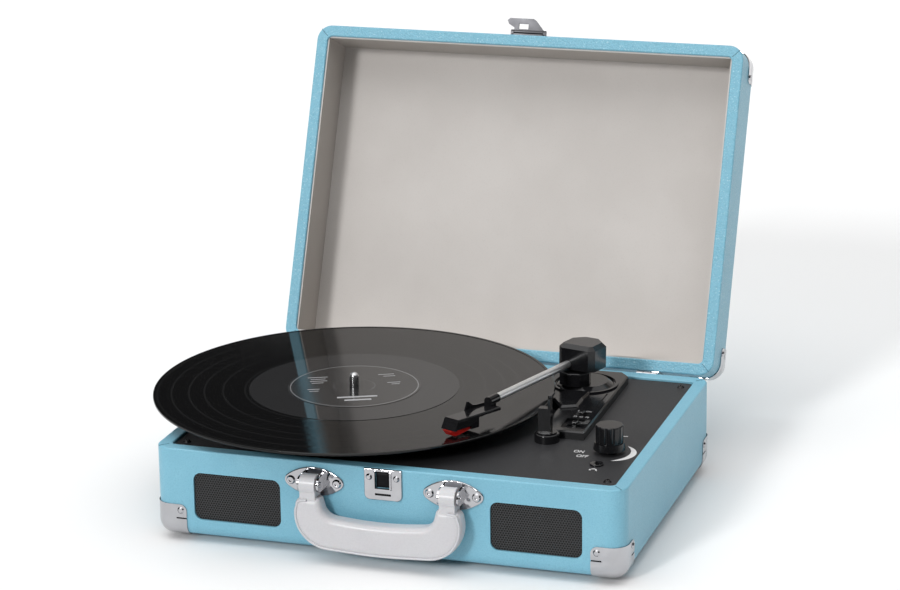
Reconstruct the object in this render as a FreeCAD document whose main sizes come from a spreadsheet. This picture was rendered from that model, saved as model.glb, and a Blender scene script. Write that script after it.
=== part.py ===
import FreeCAD, Part
import math
import os
from types import SimpleNamespace

import Sketcher

# Suitcase record player, millimetres. The frame's origin is the centre of the bottom panel's
# outer face, +X to the right, +Y to the hinges, +Z up. The lid stands open on its stop.

Vector = FreeCAD.Vector
Rotation = FreeCAD.Rotation
Placement = FreeCAD.Placement
X_AXIS = Vector(1, 0, 0)
Y_AXIS = Vector(0, 1, 0)
Z_AXIS = Vector(0, 0, 1)
MAX_NODES = 60

DIMENSIONS = [
    # case
    ("case_wide", 352.0), ("case_deep", 258.3), ("base_tall", 67.0), ("wall", 10.2),
    ("floor_thick", 6.0), ("corner_round", 12.0), ("edge_round", 9.5), ("well_round", 4.0),
    ("rim_round", 1.2),
    # service panel in the floor
    ("panel_wide", 230.0), ("panel_deep", 150.0), ("panel_thick", 3.0), ("panel_lap", 10.0),
    ("panel_screw_inset", 5.0), ("screw_radius", 1.5), ("screw_head_radius", 3.0),
    ("screw_head_tall", 1.6), ("screw_sunk", 0.3),
    # feet
    ("foot_x", 138.0), ("foot_y", 92.0), ("foot_radius", 8.0), ("foot_tall", 5.0),
    ("foot_stem_radius", 3.0), ("foot_stem_long", 5.0),
    # deck
    ("deck_gap", 0.3), ("deck_top", 65.0), ("deck_thick", 4.0), ("block_wide", 24.0),
    ("deck_screw_x", 158.0), ("deck_screw_y", 108.0), ("deck_screw_long", 16.0),
    # speakers
    ("speaker_x", 112.0), ("speaker_z", 32.0), ("grille_wide", 67.0), ("grille_tall", 36.0),
    ("grille_round", 6.0), ("grille_thick", 1.2), ("grille_inset", 1.5),
    ("flange_radius", 26.5), ("flange_thick", 2.0), ("basket_radius", 23.5),
    ("basket_neck", 13.0), ("basket_long", 14.0), ("basket_skin", 1.5), ("flange_lift", 1.5),
    ("magnet_radius", 17.0), ("magnet_long", 10.0), ("cone_radius", 20.5), ("cone_neck", 8.0),
    ("cone_long", 11.0), ("cone_skin", 1.0),
    # metal corners and rivets
    ("corner_reach", 24.5), ("corner_skin", 0.8), ("corner_tip", 5.0), ("corner_slot_z", 14.0),
    ("corner_slot_long", 8.0), ("corner_slot_tall", 1.1), ("rivet_radius", 2.6),
    ("rivet_top", 1.6), ("rivet_tall", 0.9), ("rivet_inset", 20.0),
    # handle and its plates
    ("handle_x", 52.0), ("pin_z", 54.0), ("pin_out", 9.85), ("eye_long", 24.5),
    ("eye_half", 11.0), ("eye_thick", 1.5), ("eye_tip", 5.0), ("eye_z", 52.5),
    ("ear_inner", 6.2), ("ear_thick", 1.8), ("ear_radius", 5.5), ("pin_radius", 2.0),
    ("pin_gap", 0.05), ("arm_half", 5.7), ("arm_radius", 7.5), ("plate_screw_x", 17.4),
    ("plate_screw_radius", 3.4), ("plate_screw_tall", 1.4),
    ("handle_shoulder", 45.0), ("handle_thick", 14.0), ("handle_arm_out", 61.0),
    ("handle_arm_in", 43.5), ("handle_out", 67.0), ("handle_corner_z", 8.5),
    ("handle_low", 5.0), ("handle_in", 40.0), ("handle_inner_z", 31.5), ("handle_top", 27.5),
    ("handle_round", 26.0), ("handle_inner_round", 10.0), ("handle_edge", 4.5),
    ("handle_bow", 260.0),
    # catch on the case and hasp on the lid
    ("catch_wide", 28.0), ("catch_low", 43.5), ("catch_high", 66.8), ("catch_thick", 1.6),
    ("catch_round", 4.0), ("window_wide", 13.0), ("window_low", 51.5), ("window_high", 65.0),
    ("slot_wide", 12.0), ("slot_low", 47.0), ("slot_tall", 1.6), ("keeper_skin", 1.0),
    ("keeper_out", 1.6), ("catch_rivet_x", 10.2), ("catch_rivet_z", 60.5),
    ("hasp_plate_wide", 29.0), ("hasp_plate_low", 69.0), ("hasp_plate_high", 83.0),
    ("hasp_plate_thick", 1.2), ("hasp_axis_out", 3.0), ("hasp_axis_z", 71.5),
    ("hasp_knuckle", 1.7), ("hasp_pin_radius", 0.9), ("hasp_wide", 24.0),
    ("hasp_thick", 2.0), ("hasp_window_wide", 8.0), ("hasp_window_long", 4.4),
    ("hasp_window_x", -4.4),
    ("hasp_ear", 2.2), ("hasp_hole_gap", 0.06),
    # hinges
    ("hinge_out", 3.45), ("hinge_z", 64.1), ("hinge_x", 125.4), ("hinge_wide", 16.0),
    ("hinge_barrel", 3.0), ("hinge_pin_radius", 1.2), ("hinge_leaf", 1.2),
    ("hinge_leaf_tall", 17.0), ("hinge_knuckle", 5.4), ("hinge_gap", 0.3),
    ("hinge_screw_x", 4.6), ("hinge_screw_off", 11.0),
    # lid
    ("lid_seam", 67.3), ("lid_tall", 47.1), ("lid_panel", 4.0), ("lining_thick", 1.2),
    ("lid_open", 112.7),
    # platter, record, drive
    ("spindle_x", -67.7), ("spindle_y", 2.1), ("platter_radius", 95.0), ("platter_top", 76.3),
    ("platter_plate", 3.0), ("platter_low", 67.2), ("platter_skirt", 2.0),
    ("platter_hub", 10.0), ("hub_low", 68.6), ("belt_ring", 78.0), ("belt_ring_skin", 2.5),
    ("mat_thick", 2.0), ("mat_radius", 93.0), ("record_radius", 150.8),
    ("record_thick", 2.0), ("groove_sink", 0.25), ("groove_outer", 148.2),
    ("label_radius", 50.0), ("label_thick", 0.2), ("run_out_radius", 79.0),
    ("spindle_radius", 4.5), ("shaft_radius", 3.0), ("shaft_low", 46.0),
    ("spindle_tip_radius", 3.58), ("spindle_neck", 3.3), ("neck_over", 0.25), ("spindle_top", 91.3), ("shaft_gap", 0.05),
    ("bush_radius", 7.5), ("bush_flange", 12.0), ("bush_low", 45.0), ("bush_top", 66.2),
    ("pulley_reach", 86.0), ("pulley_bearing", 140.0), ("pulley_radius", 4.0),
    ("pulley_low", 67.0), ("pulley_high", 73.0), ("motor_radius", 16.0), ("motor_low", 34.0),
    ("motor_shaft", 1.0), ("belt_gap", 0.3), ("belt_thick", 0.9), ("belt_low", 68.4),
    ("belt_wide", 3.6),
    # tonearm
    ("arm_x", 90.5), ("arm_y", 79.5), ("arm_bearing", -14.0), ("arm_rise", 2.2), ("arm_z", 90.0),
    ("plate_top", 71.3), ("dome_low_radius", 22.0), ("dome_high_radius", 17.5),
    ("dome_tall", 3.0), ("ring_radius", 25.3), ("ring_width", 2.0), ("ring_tall", 1.2),
    ("drum_radius", 12.3), ("drum_low", 74.7), ("drum_high", 84.8), ("drum_x", -3.0), ("drum_off", -10.0), ("neck_half", 4.0),
    ("neck_deep", 8.0), ("plinth_tall", 2.0), ("neck_radius", 5.0), ("arm_shaft_radius", 4.0), ("arm_shaft_low", 56.0),
    ("head_left", -15.2), ("head_right", 15.8), ("head_front", -17.0), ("head_back", 13.0),
    ("head_low", 86.0), ("head_high", 105.2), ("head_front_corner", 4.0),
    ("head_back_corner", 9.0), ("head_bevel", 3.0), ("head_room_high", 97.5),
    ("tilt_pin_radius", 2.0), ("tube_x", -5.65), ("tube_radius", 2.9), ("tube_seat", 7.0),
    ("tube_front", -126.0), ("collar_radius", 3.3), ("collar_long", 12.2),
    ("collar_back", -120.8), ("shell_x", -2.75), ("shell_y", -129.7), ("shell_turn", -10.5),
    ("shell_wide", 13.5), ("cartridge_wide", 11.0), ("stylus_wide", 8.0),
    ("needle_reach", 40.0), ("needle_low", 74.2), ("lift_thick", 1.2),
    # arm rest
    ("rest_x", 93.5), ("rest_y", -36.0), ("rest_lobe", 9.2), ("rest_foot", 7.2),
    ("rest_foot_tall", 1.0), ("rest_post_y", -37.0), ("rest_left", 88.0), ("rest_right", 97.2),
    ("saddle_z", 90.6), ("saddle_deep", 6.0), ("prong_wide", 1.9), ("prong_top", 98.0),
    ("clip_lift", 0.3), ("clip_radius", 1.5), ("clip_pin", 0.6), ("clip_long", 9.0),
    ("clip_wide", 2.4), ("clip_thick", 1.8),
    # knob and sockets
    ("knob_x", 143.5), ("knob_y", -48.0), ("knob_skirt", 11.8), ("knob_radius", 10.0),
    ("knob_low", 68.0), ("knob_step", 73.0), ("knob_top", 86.0), ("knob_stem", 3.0),
    ("pot_wide", 17.0), ("pot_tall", 9.0), ("flutes", 12.0), ("flute_radius", 1.6),
    ("phone_x", 141.5), ("phone_y", -76.0), ("phone_bore", 1.8), ("phone_barrel", 3.6),
    ("phone_nut", 5.0), ("phone_low", 51.0), ("phone_nut_tall", 1.3),
    # switches on the tonearm plate
    ("speed_x", 107.7), ("speed_y", -11.5), ("speed_travel", 9.0), ("slot_deep", 2.8),
    ("recess_deep", 1.8), ("recess_wide", 17.5), ("recess_long", 19.9),
    ("stop_x", 107.0), ("stop_y", 9.5), ("stop_travel", 4.0),
    # rear sockets
    ("jack_plate_x", -66.0), ("jack_plate_z", 32.0), ("jack_plate_wide", 70.0),
    ("jack_plate_tall", 26.0), ("jack_plate_thick", 1.6), ("jack_hole_inset", 6.0),
    ("line_out_pitch", 14.0), ("line_out_radius", 4.15), ("line_out_long", 9.0),
    ("line_out_bore", 1.7), ("dc_radius", 5.5), ("dc_bore", 2.8), ("dc_long", 10.0),
    ("dc_off", -20.0), ("line_out_off", 14.0),
    # circuit board
    ("board_x", 20.0), ("board_y", -70.0), ("board_wide", 84.0), ("board_deep", 50.0),
    ("board_z", 44.0), ("board_thick", 1.6), ("standoff_radius", 3.0),
]


class Size:
    """A number with the spreadsheet formula that gives it, so that arithmetic keeps both."""

    def __init__(self, value, formula):
        self.value = float(value)
        self.formula = formula

    def joined(self, other, sign, value):
        return Size(value, f"({self.formula} {sign} {words(other)})")

    def __add__(self, other):
        return self.joined(other, "+", self.value + number(other))

    def __radd__(self, other):
        return self + other

    def __sub__(self, other):
        return self.joined(other, "-", self.value - number(other))

    def __rsub__(self, other):
        return -self + other

    def __mul__(self, other):
        return self.joined(other, "*", self.value * number(other))

    def __rmul__(self, other):
        return self * other

    def __truediv__(self, other):
        return self.joined(other, "/", self.value / number(other))

    def __neg__(self):
        return self * -1.0


def number(size):
    return size.value if isinstance(size, Size) else float(size)


def words(size):
    return size.formula if isinstance(size, Size) else f"({float(size)!r})"


def bind(item, properties):
    """Binds each property to its formula, or sets it where it is a plain number."""
    for name, size in properties.items():
        item.setExpression(name, words(size))


doc = FreeCAD.newDocument("record_player")
sheet = doc.addObject("Spreadsheet::Sheet", "Dimensions")
for row, (alias, value) in enumerate(DIMENSIONS, start=1):
    sheet.set(f"A{row}", alias)
    sheet.set(f"B{row}", str(value))
    sheet.setAlias(f"B{row}", alias)
doc.recompute()
sizes = SimpleNamespace(
    **{alias: Size(getattr(sheet, alias), f"Dimensions.{alias}") for alias, _ in DIMENSIONS}
)
s = sizes
pieces = []


# ---- primitives ------------------------------------------------------------------------------


def put(item, corner):
    bind(item, {f"Placement.Base.{axis}": at for axis, at in zip("xyz", corner)})


def box(name, corner, size):
    item = doc.addObject("Part::Box", name)
    bind(item, {"Length": size[0], "Width": size[1], "Height": size[2]})
    put(item, corner)
    return item


def turned(item, axis):
    """Turns a primitive that is made along +Z to lie along the axis."""
    item.Placement = Placement(Vector(0, 0, 0), Rotation(Z_AXIS, axis))
    return item


def rod(name, radius, length, start, axis=Z_AXIS):
    item = turned(doc.addObject("Part::Cylinder", name), axis)
    bind(item, {"Radius": radius, "Height": length})
    put(item, start)
    return item


def taper(name, radius, far_radius, length, start, axis=Z_AXIS):
    item = turned(doc.addObject("Part::Cone", name), axis)
    bind(item, {"Radius1": radius, "Radius2": far_radius, "Height": length})
    put(item, start)
    return item


def ball(name, radius, centre):
    item = doc.addObject("Part::Sphere", name)
    bind(item, {"Radius": radius})
    put(item, centre)
    return item


def join(name, items):
    item = doc.addObject("Part::MultiFuse", name)
    item.Shapes = items
    return item


def cut(name, solid, tools):
    item = doc.addObject("Part::Cut", name)
    item.Base = solid
    item.Tool = tools[0] if len(tools) == 1 else join(f"{name}_tools", tools)
    return item


def common(name, items):
    item = doc.addObject("Part::MultiCommon", name)
    item.Shapes = items
    return item


def group(name, items):
    item = doc.addObject("Part::Compound", name)
    item.Links = items
    return item


def rounds(name, solid, radius, pick, kind="Part::Fillet"):
    """Rounds, or bevels, the edges that pick accepts."""
    doc.recompute()
    item = doc.addObject(kind, name)
    item.Base = solid
    chosen = [i for i, edge in enumerate(solid.Shape.Edges, start=1) if pick(edge)]
    item.Edges = [(i, number(radius), number(radius)) for i in chosen]
    return item


def keep(item, node):
    """Names the sub-part, which also names its file."""
    item.Label = node
    pieces.append(item)
    return item


# ---- sketched bodies -------------------------------------------------------------------------


def origin_plane(body, role):
    return next(part for part in body.Origin.OriginFeatures if part.Role == role)


def sketch_on(body, role, offset):
    sketch = body.newObject("Sketcher::SketchObject", f"{body.Name}_sketch")
    sketch.AttachmentSupport = [(origin_plane(body, role), "")]
    sketch.MapMode = "FlatFace"
    bind(sketch, {"AttachmentOffset.Base.z": offset})
    return sketch


def polygon_sketch(body, role, points, offset=0.0):
    """A closed outline, with each corner held at its own distances from the sketch's origin."""
    sketch = sketch_on(body, role, offset)
    flat = [Vector(number(across), number(up), 0) for across, up in points]
    count = len(points)
    for i in range(count):
        sketch.addGeometry(Part.LineSegment(flat[i], flat[(i + 1) % count]), False)
    for i in range(count):
        sketch.addConstraint(Sketcher.Constraint("Coincident", i, 2, (i + 1) % count, 1))
    for i, corner in enumerate(points):
        for kind, size in zip(("DistanceX", "DistanceY"), corner):
            value = number(size)
            if abs(value) < 1e-9:
                line = -2 if kind == "DistanceX" else -1
                sketch.addConstraint(Sketcher.Constraint("PointOnObject", i, 1, line))
                continue
            ends = (-1, 1, i, 1) if value > 0 else (i, 1, -1, 1)
            index = sketch.addConstraint(Sketcher.Constraint(kind, *ends, abs(value)))
            formula = size if value > 0 else -1.0 * size
            sketch.setExpression(f"Constraints[{index}]", words(formula))
    return sketch


def rectangle(wide, tall, centre=(0.0, 0.0)):
    across, up = centre
    low = (across - wide / 2, up - tall / 2)
    high = (across + wide / 2, up + tall / 2)
    return [low, (high[0], low[1]), high, (low[0], high[1])]


def padded(name, role, points, thick, offset=0.0):
    body = doc.addObject("PartDesign::Body", name)
    pad = body.newObject("PartDesign::Pad", f"{name}_pad")
    pad.Profile = polygon_sketch(body, role, points, offset)
    bind(pad, {"Length": thick})
    doc.recompute()
    return body


def pocketed(body, role, points, deep, offset=0.0, reverse=False):
    """Cuts a pocket, and checks that it took material away."""
    before = body.Shape.Volume
    pocket = body.newObject("PartDesign::Pocket", f"{body.Name}_pocket")
    pocket.Profile = polygon_sketch(body, role, points, offset)
    pocket.Reversed = reverse
    bind(pocket, {"Length": deep})
    doc.recompute()
    if body.Shape.Volume > before - 1e-3:
        raise RuntimeError(f"a pocket in {body.Name} cut nothing")
    return body


def softened(body, radius, pick, kind="PartDesign::Fillet"):
    doc.recompute()
    tip = body.Tip
    chosen = [f"Edge{i}" for i, edge in enumerate(tip.Shape.Edges, start=1) if pick(edge)]
    item = body.newObject(kind, f"{body.Name}_round")
    item.Base = (tip, chosen)
    bind(item, {"Radius" if kind == "PartDesign::Fillet" else "Size": radius})
    doc.recompute()
    return body


def along(edge, axis):
    """Is the edge straight and parallel to the axis?"""
    if not isinstance(edge.Curve, Part.Line):
        return False
    return edge.Curve.Direction.cross(axis).Length < 1e-6


def at_level(edge, axis, level):
    """Does the whole edge lie at one level along the axis?"""
    ends = [getattr(edge.BoundBox, f"{axis}Min"), getattr(edge.BoundBox, f"{axis}Max")]
    return all(abs(end - number(level)) < 1e-4 for end in ends)


def near(edge, x=None, y=None, z=None, reach=0.01):
    centre = edge.BoundBox.Center
    wanted = ((x, centre.x), (y, centre.y), (z, centre.z))
    return all(at is None or abs(abs(number(at)) - abs(have)) < reach for at, have in wanted)


FRONT = -s.case_deep / 2
BACK = s.case_deep / 2
LEFT_RIGHT = (("left", -1.0), ("right", 1.0))
CORNERS = [(across, along_y) for across in (-1.0, 1.0) for along_y in (-1.0, 1.0)]


# ---- case base -------------------------------------------------------------------------------


def case_shell():
    body = padded("shell", "XY_Plane", rectangle(s.case_wide, s.case_deep), s.base_tall)
    softened(body, s.corner_round, lambda edge: along(edge, Z_AXIS))
    softened(body, s.edge_round, lambda edge: at_level(edge, "Z", 0.0))
    inner = rectangle(s.case_wide - s.wall * 2, s.case_deep - s.wall * 2)
    pocketed(body, "XY_Plane", inner, s.base_tall - s.floor_thick, s.base_tall)
    inner_x = s.case_wide / 2 - s.wall
    softened(body, s.well_round, lambda edge: along(edge, Z_AXIS) and near(edge, x=inner_x))
    softened(body, s.rim_round, lambda edge: at_level(edge, "Z", s.base_tall))
    opening = rectangle(s.panel_wide - s.panel_lap * 2, s.panel_deep - s.panel_lap * 2)
    pocketed(body, "XY_Plane", opening, s.floor_thick, s.floor_thick)
    rebate = rectangle(s.panel_wide, s.panel_deep)
    pocketed(body, "XY_Plane", rebate, s.panel_thick, s.panel_thick)
    for _, side in LEFT_RIGHT:
        window = rectangle(s.grille_wide, s.grille_tall, (side * s.speaker_x, s.speaker_z))
        pocketed(body, "XZ_Plane", window, s.wall, -FRONT)
    half_tall = s.grille_tall / 2

    def window_corner(edge):
        level = abs(abs(edge.BoundBox.Center.z - number(s.speaker_z)) - number(half_tall))
        return along(edge, Y_AXIS) and level < 0.01

    softened(body, s.grille_round, window_corner)
    jack_wide = s.jack_plate_wide - s.jack_hole_inset * 2
    jack_tall = s.jack_plate_tall - s.jack_hole_inset * 2
    hole = rectangle(jack_wide, jack_tall, (s.jack_plate_x, s.jack_plate_z))
    pocketed(body, "XZ_Plane", hole, s.wall, -BACK + s.wall)
    drills = [
        rod("foot_drill", s.foot_stem_radius, s.foot_stem_long, (a * s.foot_x, b * s.foot_y, 0.0))
        for a, b in CORNERS
    ]
    drills += [
        rod("panel_drill", s.screw_radius, s.floor_thick, (*panel_screw_at(a, b), 0.0))
        for a, b in CORNERS
    ]
    keep(cut("case_shell_drilled", body, drills), "case_shell")


def panel_screw_at(across, along_y):
    x = across * (s.panel_wide / 2 - s.panel_screw_inset)
    y = along_y * (s.panel_deep / 2 - s.panel_screw_inset)
    return x, y


def bottom_panel():
    gap = 0.4
    outline = rectangle(s.panel_wide - gap, s.panel_deep - gap)
    body = padded("bottom_board", "XY_Plane", outline, s.panel_thick)
    sunk = s.screw_sunk + s.screw_head_tall
    holes = []
    screws = []
    for a, b in CORNERS:
        x, y = panel_screw_at(a, b)
        holes.append(rod("panel_hole", s.screw_radius, s.panel_thick, (x, y, 0.0)))
        holes.append(rod("panel_sink", s.screw_head_radius + 0.1, sunk, (x, y, 0.0)))
        head = rod("head", s.screw_head_radius, s.screw_head_tall, (x, y, s.screw_sunk))
        shank = rod("shank", s.screw_radius, s.floor_thick - sunk, (x, y, sunk))
        screws.append(join("panel_screw", [head, shank]))
    keep(cut("bottom_panel_drilled", body, holes), "bottom_panel")
    keep(group("panel_screws", screws), "bottom_screws")


def rubber_feet():
    feet = []
    for a, b in CORNERS:
        x, y = a * s.foot_x, b * s.foot_y
        pad = taper("pad", s.foot_radius - 1.0, s.foot_radius, s.foot_tall, (x, y, -s.foot_tall))
        stem = rod("stem", s.foot_stem_radius, s.foot_stem_long, (x, y, 0.0))
        feet.append(join("foot", [pad, stem]))
    keep(group("feet", feet), "rubber_feet")


def corner_blocks():
    blocks = []
    high = s.deck_top - s.deck_thick
    inner_x = s.case_wide / 2 - s.wall - s.block_wide
    inner_y = s.case_deep / 2 - s.wall - s.block_wide
    for a, b in CORNERS:
        x = inner_x if a > 0 else -1.0 * (s.case_wide / 2 - s.wall)
        y = inner_y if b > 0 else -1.0 * (s.case_deep / 2 - s.wall)
        size = (s.block_wide, s.block_wide, high - s.floor_thick)
        block = box("block", (x, y, s.floor_thick), size)
        outer_x = s.case_wide / 2 - s.wall
        trimmed = rounds(
            "block_round",
            block,
            s.well_round,
            lambda edge: along(edge, Z_AXIS)
            and near(edge, x=outer_x)
            and near(edge, y=s.case_deep / 2 - s.wall),
        )
        start = high - (s.deck_screw_long - s.deck_thick)
        at = (a * s.deck_screw_x, b * s.deck_screw_y, start)
        pilot = rod("pilot", s.screw_radius, s.deck_screw_long, at)
        blocks.append(cut("corner_block", trimmed, [pilot]))
    keep(group("blocks", blocks), "corner_blocks")


def pulley_centre():
    """The motor pulley's axis, at its reach and bearing from the spindle."""
    turn = math.radians(number(s.pulley_bearing))
    x = s.spindle_x + s.pulley_reach * math.cos(turn)
    y = s.spindle_y + s.pulley_reach * math.sin(turn)
    return x, y


def deck_plate():
    wide = s.case_wide - s.wall * 2 - s.deck_gap * 2
    deep = s.case_deep - s.wall * 2 - s.deck_gap * 2
    low = s.deck_top - s.deck_thick
    body = padded("deck", "XY_Plane", rectangle(wide, deep), s.deck_thick, low)
    softened(body, s.well_round, lambda edge: along(edge, Z_AXIS))
    softened(body, 0.6, lambda edge: at_level(edge, "Z", s.deck_top))
    pulley_x, pulley_y = pulley_centre()
    holes = [
        ((s.spindle_x, s.spindle_y), s.bush_radius),
        ((pulley_x, pulley_y), s.pulley_radius + 2.0),
        ((s.arm_x, s.arm_y), s.arm_shaft_radius + 2.0),
        ((s.knob_x, s.knob_y), s.knob_stem + 1.0),
        ((s.phone_x, s.phone_y), s.phone_barrel),
    ]
    holes += [((a * s.deck_screw_x, b * s.deck_screw_y), s.screw_radius) for a, b in CORNERS]
    drills = [rod("deck_hole", radius, s.deck_thick, (*at, low)) for at, radius in holes]
    for x, y, travel in switch_places():
        stem = travel + s.slot_deep
        corner = (x - stem / 2, y - s.slot_deep / 2, low)
        drills.append(box("deck_slot", corner, (stem, s.slot_deep, s.deck_thick)))
    keep(cut("deck_drilled", body, drills), "deck_plate")
    screws = []
    for a, b in CORNERS:
        x, y = a * s.deck_screw_x, b * s.deck_screw_y
        head = taper("head", s.screw_head_radius, s.screw_head_radius - 1.2, s.screw_head_tall,
                     (x, y, s.deck_top))
        cross = [
            box("driver_slot", (x - 1.8, y - 0.35, s.deck_top + 0.8), (3.6, 0.7, 1.0)),
            box("driver_slot", (x - 0.35, y - 1.8, s.deck_top + 0.8), (0.7, 3.6, 1.0)),
        ]
        shank = rod("shank", s.screw_radius, s.deck_screw_long,
                    (x, y, s.deck_top - s.deck_screw_long))
        screws.append(join("deck_screw", [cut("head_cut", head, cross), shank]))
    keep(group("screws", screws), "deck_screws")


def speakers():
    inside = FRONT + s.wall
    grilles, frames, cones, magnets = [], [], [], []
    for name, side in LEFT_RIGHT:
        x = side * s.speaker_x
        window = rectangle(s.grille_wide - 0.2, s.grille_tall - 0.2, (x, s.speaker_z))
        grille = padded(f"grille_{name}", "XZ_Plane", window, s.grille_thick,
                        -FRONT - s.grille_inset - s.grille_thick)
        softened(grille, s.grille_round, lambda edge: along(edge, Y_AXIS))
        grilles.append(grille)
        z = s.speaker_z + s.flange_lift
        flange = rod("flange", s.flange_radius, s.flange_thick, (x, inside, z), Y_AXIS)
        start = inside + s.flange_thick
        basket = taper("basket", s.basket_radius, s.basket_neck, s.basket_long,
                       (x, start, z), Y_AXIS)
        hollow = taper("hollow", s.basket_radius - s.basket_skin, s.basket_neck - s.basket_skin,
                       s.basket_long, (x, start, z), Y_AXIS)
        mouth = rod("mouth", s.basket_radius - s.basket_skin, s.flange_thick, (x, inside, z),
                    Y_AXIS)
        frames.append(cut("frame", join("frame_solid", [flange, basket]), [hollow, mouth]))
        outer = taper("cone_outer", s.cone_radius, s.cone_neck, s.cone_long, (x, inside + 1.0, z),
                      Y_AXIS)
        inner = taper("cone_inner", s.cone_radius - s.cone_skin, s.cone_neck - s.cone_skin,
                      s.cone_long - 1.0, (x, inside + 1.0, z), Y_AXIS)
        cones.append(cut("cone", outer, [inner]))
        magnets.append(rod("magnet", s.magnet_radius, s.magnet_long,
                           (x, start + s.basket_long, z), Y_AXIS))
    keep(group("grilles", grilles), "speaker_grilles")
    keep(group("frames", frames), "speaker_frames")
    keep(group("cones", cones), "speaker_cones")
    keep(group("magnets", magnets), "speaker_magnets")


def outer_block(name, low, tall, grow, round_low):
    """The case's outside, grown on every side, with the edges rounded at one end."""
    outline = rectangle(s.case_wide + grow * 2, s.case_deep + grow * 2)
    body = padded(name, "XY_Plane", outline, tall + grow, low - grow if round_low else low)
    softened(body, s.corner_round + grow, lambda edge: along(edge, Z_AXIS))
    level = low - grow if round_low else low + tall + grow
    softened(body, s.edge_round + grow, lambda edge: at_level(edge, "Z", level))
    return body


def corner_block(name, a, b, level, up):
    """The space that one metal corner fills, rounded where its edges meet on each face."""
    over = 2.0
    reach = s.corner_reach
    x, y = a * s.case_wide / 2, b * s.case_deep / 2
    inner_x, inner_y, inner_z = x - a * reach, y - b * reach, level + up * reach
    corner = (
        inner_x if a > 0 else x - over,
        inner_y if b > 0 else y - over,
        level - over if up > 0 else inner_z,
    )
    block = box(name, corner, (reach + over, reach + over, reach + over))

    def meets_faces(edge):
        across = along(edge, X_AXIS) and near(edge, y=inner_y, z=inner_z)
        deep = along(edge, Y_AXIS) and near(edge, x=inner_x, z=inner_z)
        return across or deep or (along(edge, Z_AXIS) and near(edge, x=inner_x, y=inner_y))

    return rounds(f"{name}_round", block, s.corner_tip, meets_faces)


def metal_corners(name, low, tall, round_low):
    """Pressed corners that wrap the outside, with a rivet and a slot on their two sides."""
    up = 1.0 if round_low else -1.0
    level = low if round_low else low + tall
    skin = cut(f"{name}_skin", outer_block(f"{name}_outer", low, tall, s.corner_skin, round_low),
               [outer_block(f"{name}_inner", low, tall, 0.0 * s.corner_skin, round_low)])
    corners, rivets = [], []
    through = 4.0
    for a, b in CORNERS:
        x, y = a * s.case_wide / 2, b * s.case_deep / 2
        corner = common(f"{name}_corner", [skin, corner_block(f"{name}_block", a, b, level, up)])
        z = level + up * s.corner_slot_z - s.corner_slot_tall / 2
        middle = s.corner_reach - s.corner_slot_long / 2
        long = s.corner_slot_long
        slots = [
            box("side_slot", (x - a * middle - long / 2, y - through / 2, z),
                (long, through, s.corner_slot_tall)),
            box("end_slot", (x - through / 2, y - b * middle - long / 2, z),
                (through, long, s.corner_slot_tall)),
        ]
        corners.append(cut(f"{name}_slotted", corner, slots))
        z = level + up * s.rivet_inset
        side_at = (x - a * s.rivet_inset, y + b * s.corner_skin, z)
        end_at = (x + a * s.corner_skin, y - b * s.rivet_inset, z)
        for at, axis in ((side_at, Y_AXIS * b), (end_at, X_AXIS * a)):
            rivets.append(taper("rivet", s.rivet_radius, s.rivet_top, s.rivet_tall, at, axis))
    return corners, rivets


def base_corners():
    corners, rivets = metal_corners("base", 0.0 * s.base_tall, s.base_tall, True)
    keep(group("base_corners", corners), "base_corner_protectors")
    keep(group("base_rivets", rivets), "base_corner_rivets")


# ---- handle ----------------------------------------------------------------------------------


def handle_plates():
    pin_y = FRONT - s.pin_out
    plates, screws, pins = [], [], []
    for name, side in LEFT_RIGHT:
        x = side * s.handle_x
        bow = (s.eye_long * s.eye_long + s.eye_half * s.eye_half) / (s.eye_half * 2)
        arcs = [
            rod("eye_arc", bow, s.eye_thick, (x, FRONT, s.eye_z + up * (bow - s.eye_half)),
                -Y_AXIS)
            for up in (-1.0, 1.0)
        ]
        eye = rounds(f"eye_{name}", common(f"eye_lens_{name}", arcs), s.eye_tip,
                     lambda edge: along(edge, Y_AXIS))
        front = FRONT - s.eye_thick
        eye = rounds(f"eye_soft_{name}", eye, 0.8, lambda edge: at_level(edge, "Y", front))
        parts = [eye]
        for inner in (s.ear_inner, -s.ear_inner - s.ear_thick):
            ear_x = x + inner
            disc = rod("ear_disc", s.ear_radius, s.ear_thick, (ear_x, pin_y, s.pin_z), X_AXIS)
            web = box("ear_web", (ear_x, pin_y, s.pin_z - s.ear_radius),
                      (s.ear_thick, FRONT - pin_y - 0.4, s.ear_radius * 2))
            parts += [disc, web]
        half = s.ear_inner + s.ear_thick
        hole = rod("ear_hole", s.pin_radius, half * 2, (x - half, pin_y, s.pin_z), X_AXIS)
        plates.append(cut(f"plate_{name}", join(f"plate_solid_{name}", parts), [hole]))
        pins.append(rod("pin", s.pin_radius, half * 2 + 1.6, (x - half - 0.8, pin_y, s.pin_z),
                        X_AXIS))
        for end in (-1.0, 1.0):
            at = (x + end * s.plate_screw_x, front, s.eye_z)
            head = taper("head", s.plate_screw_radius, s.plate_screw_radius - 1.0,
                         s.plate_screw_tall, at, -Y_AXIS)
            socket = rod("socket", 1.2, 0.8, (at[0], front - s.plate_screw_tall + 0.8, at[2]),
                         -Y_AXIS)
            screws.append(cut("plate_screw", head, [socket]))
    keep(group("plates", plates), "handle_plates")
    keep(group("plate_screws", screws), "handle_plate_screws")
    keep(group("pins", pins), "handle_pins")


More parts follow.
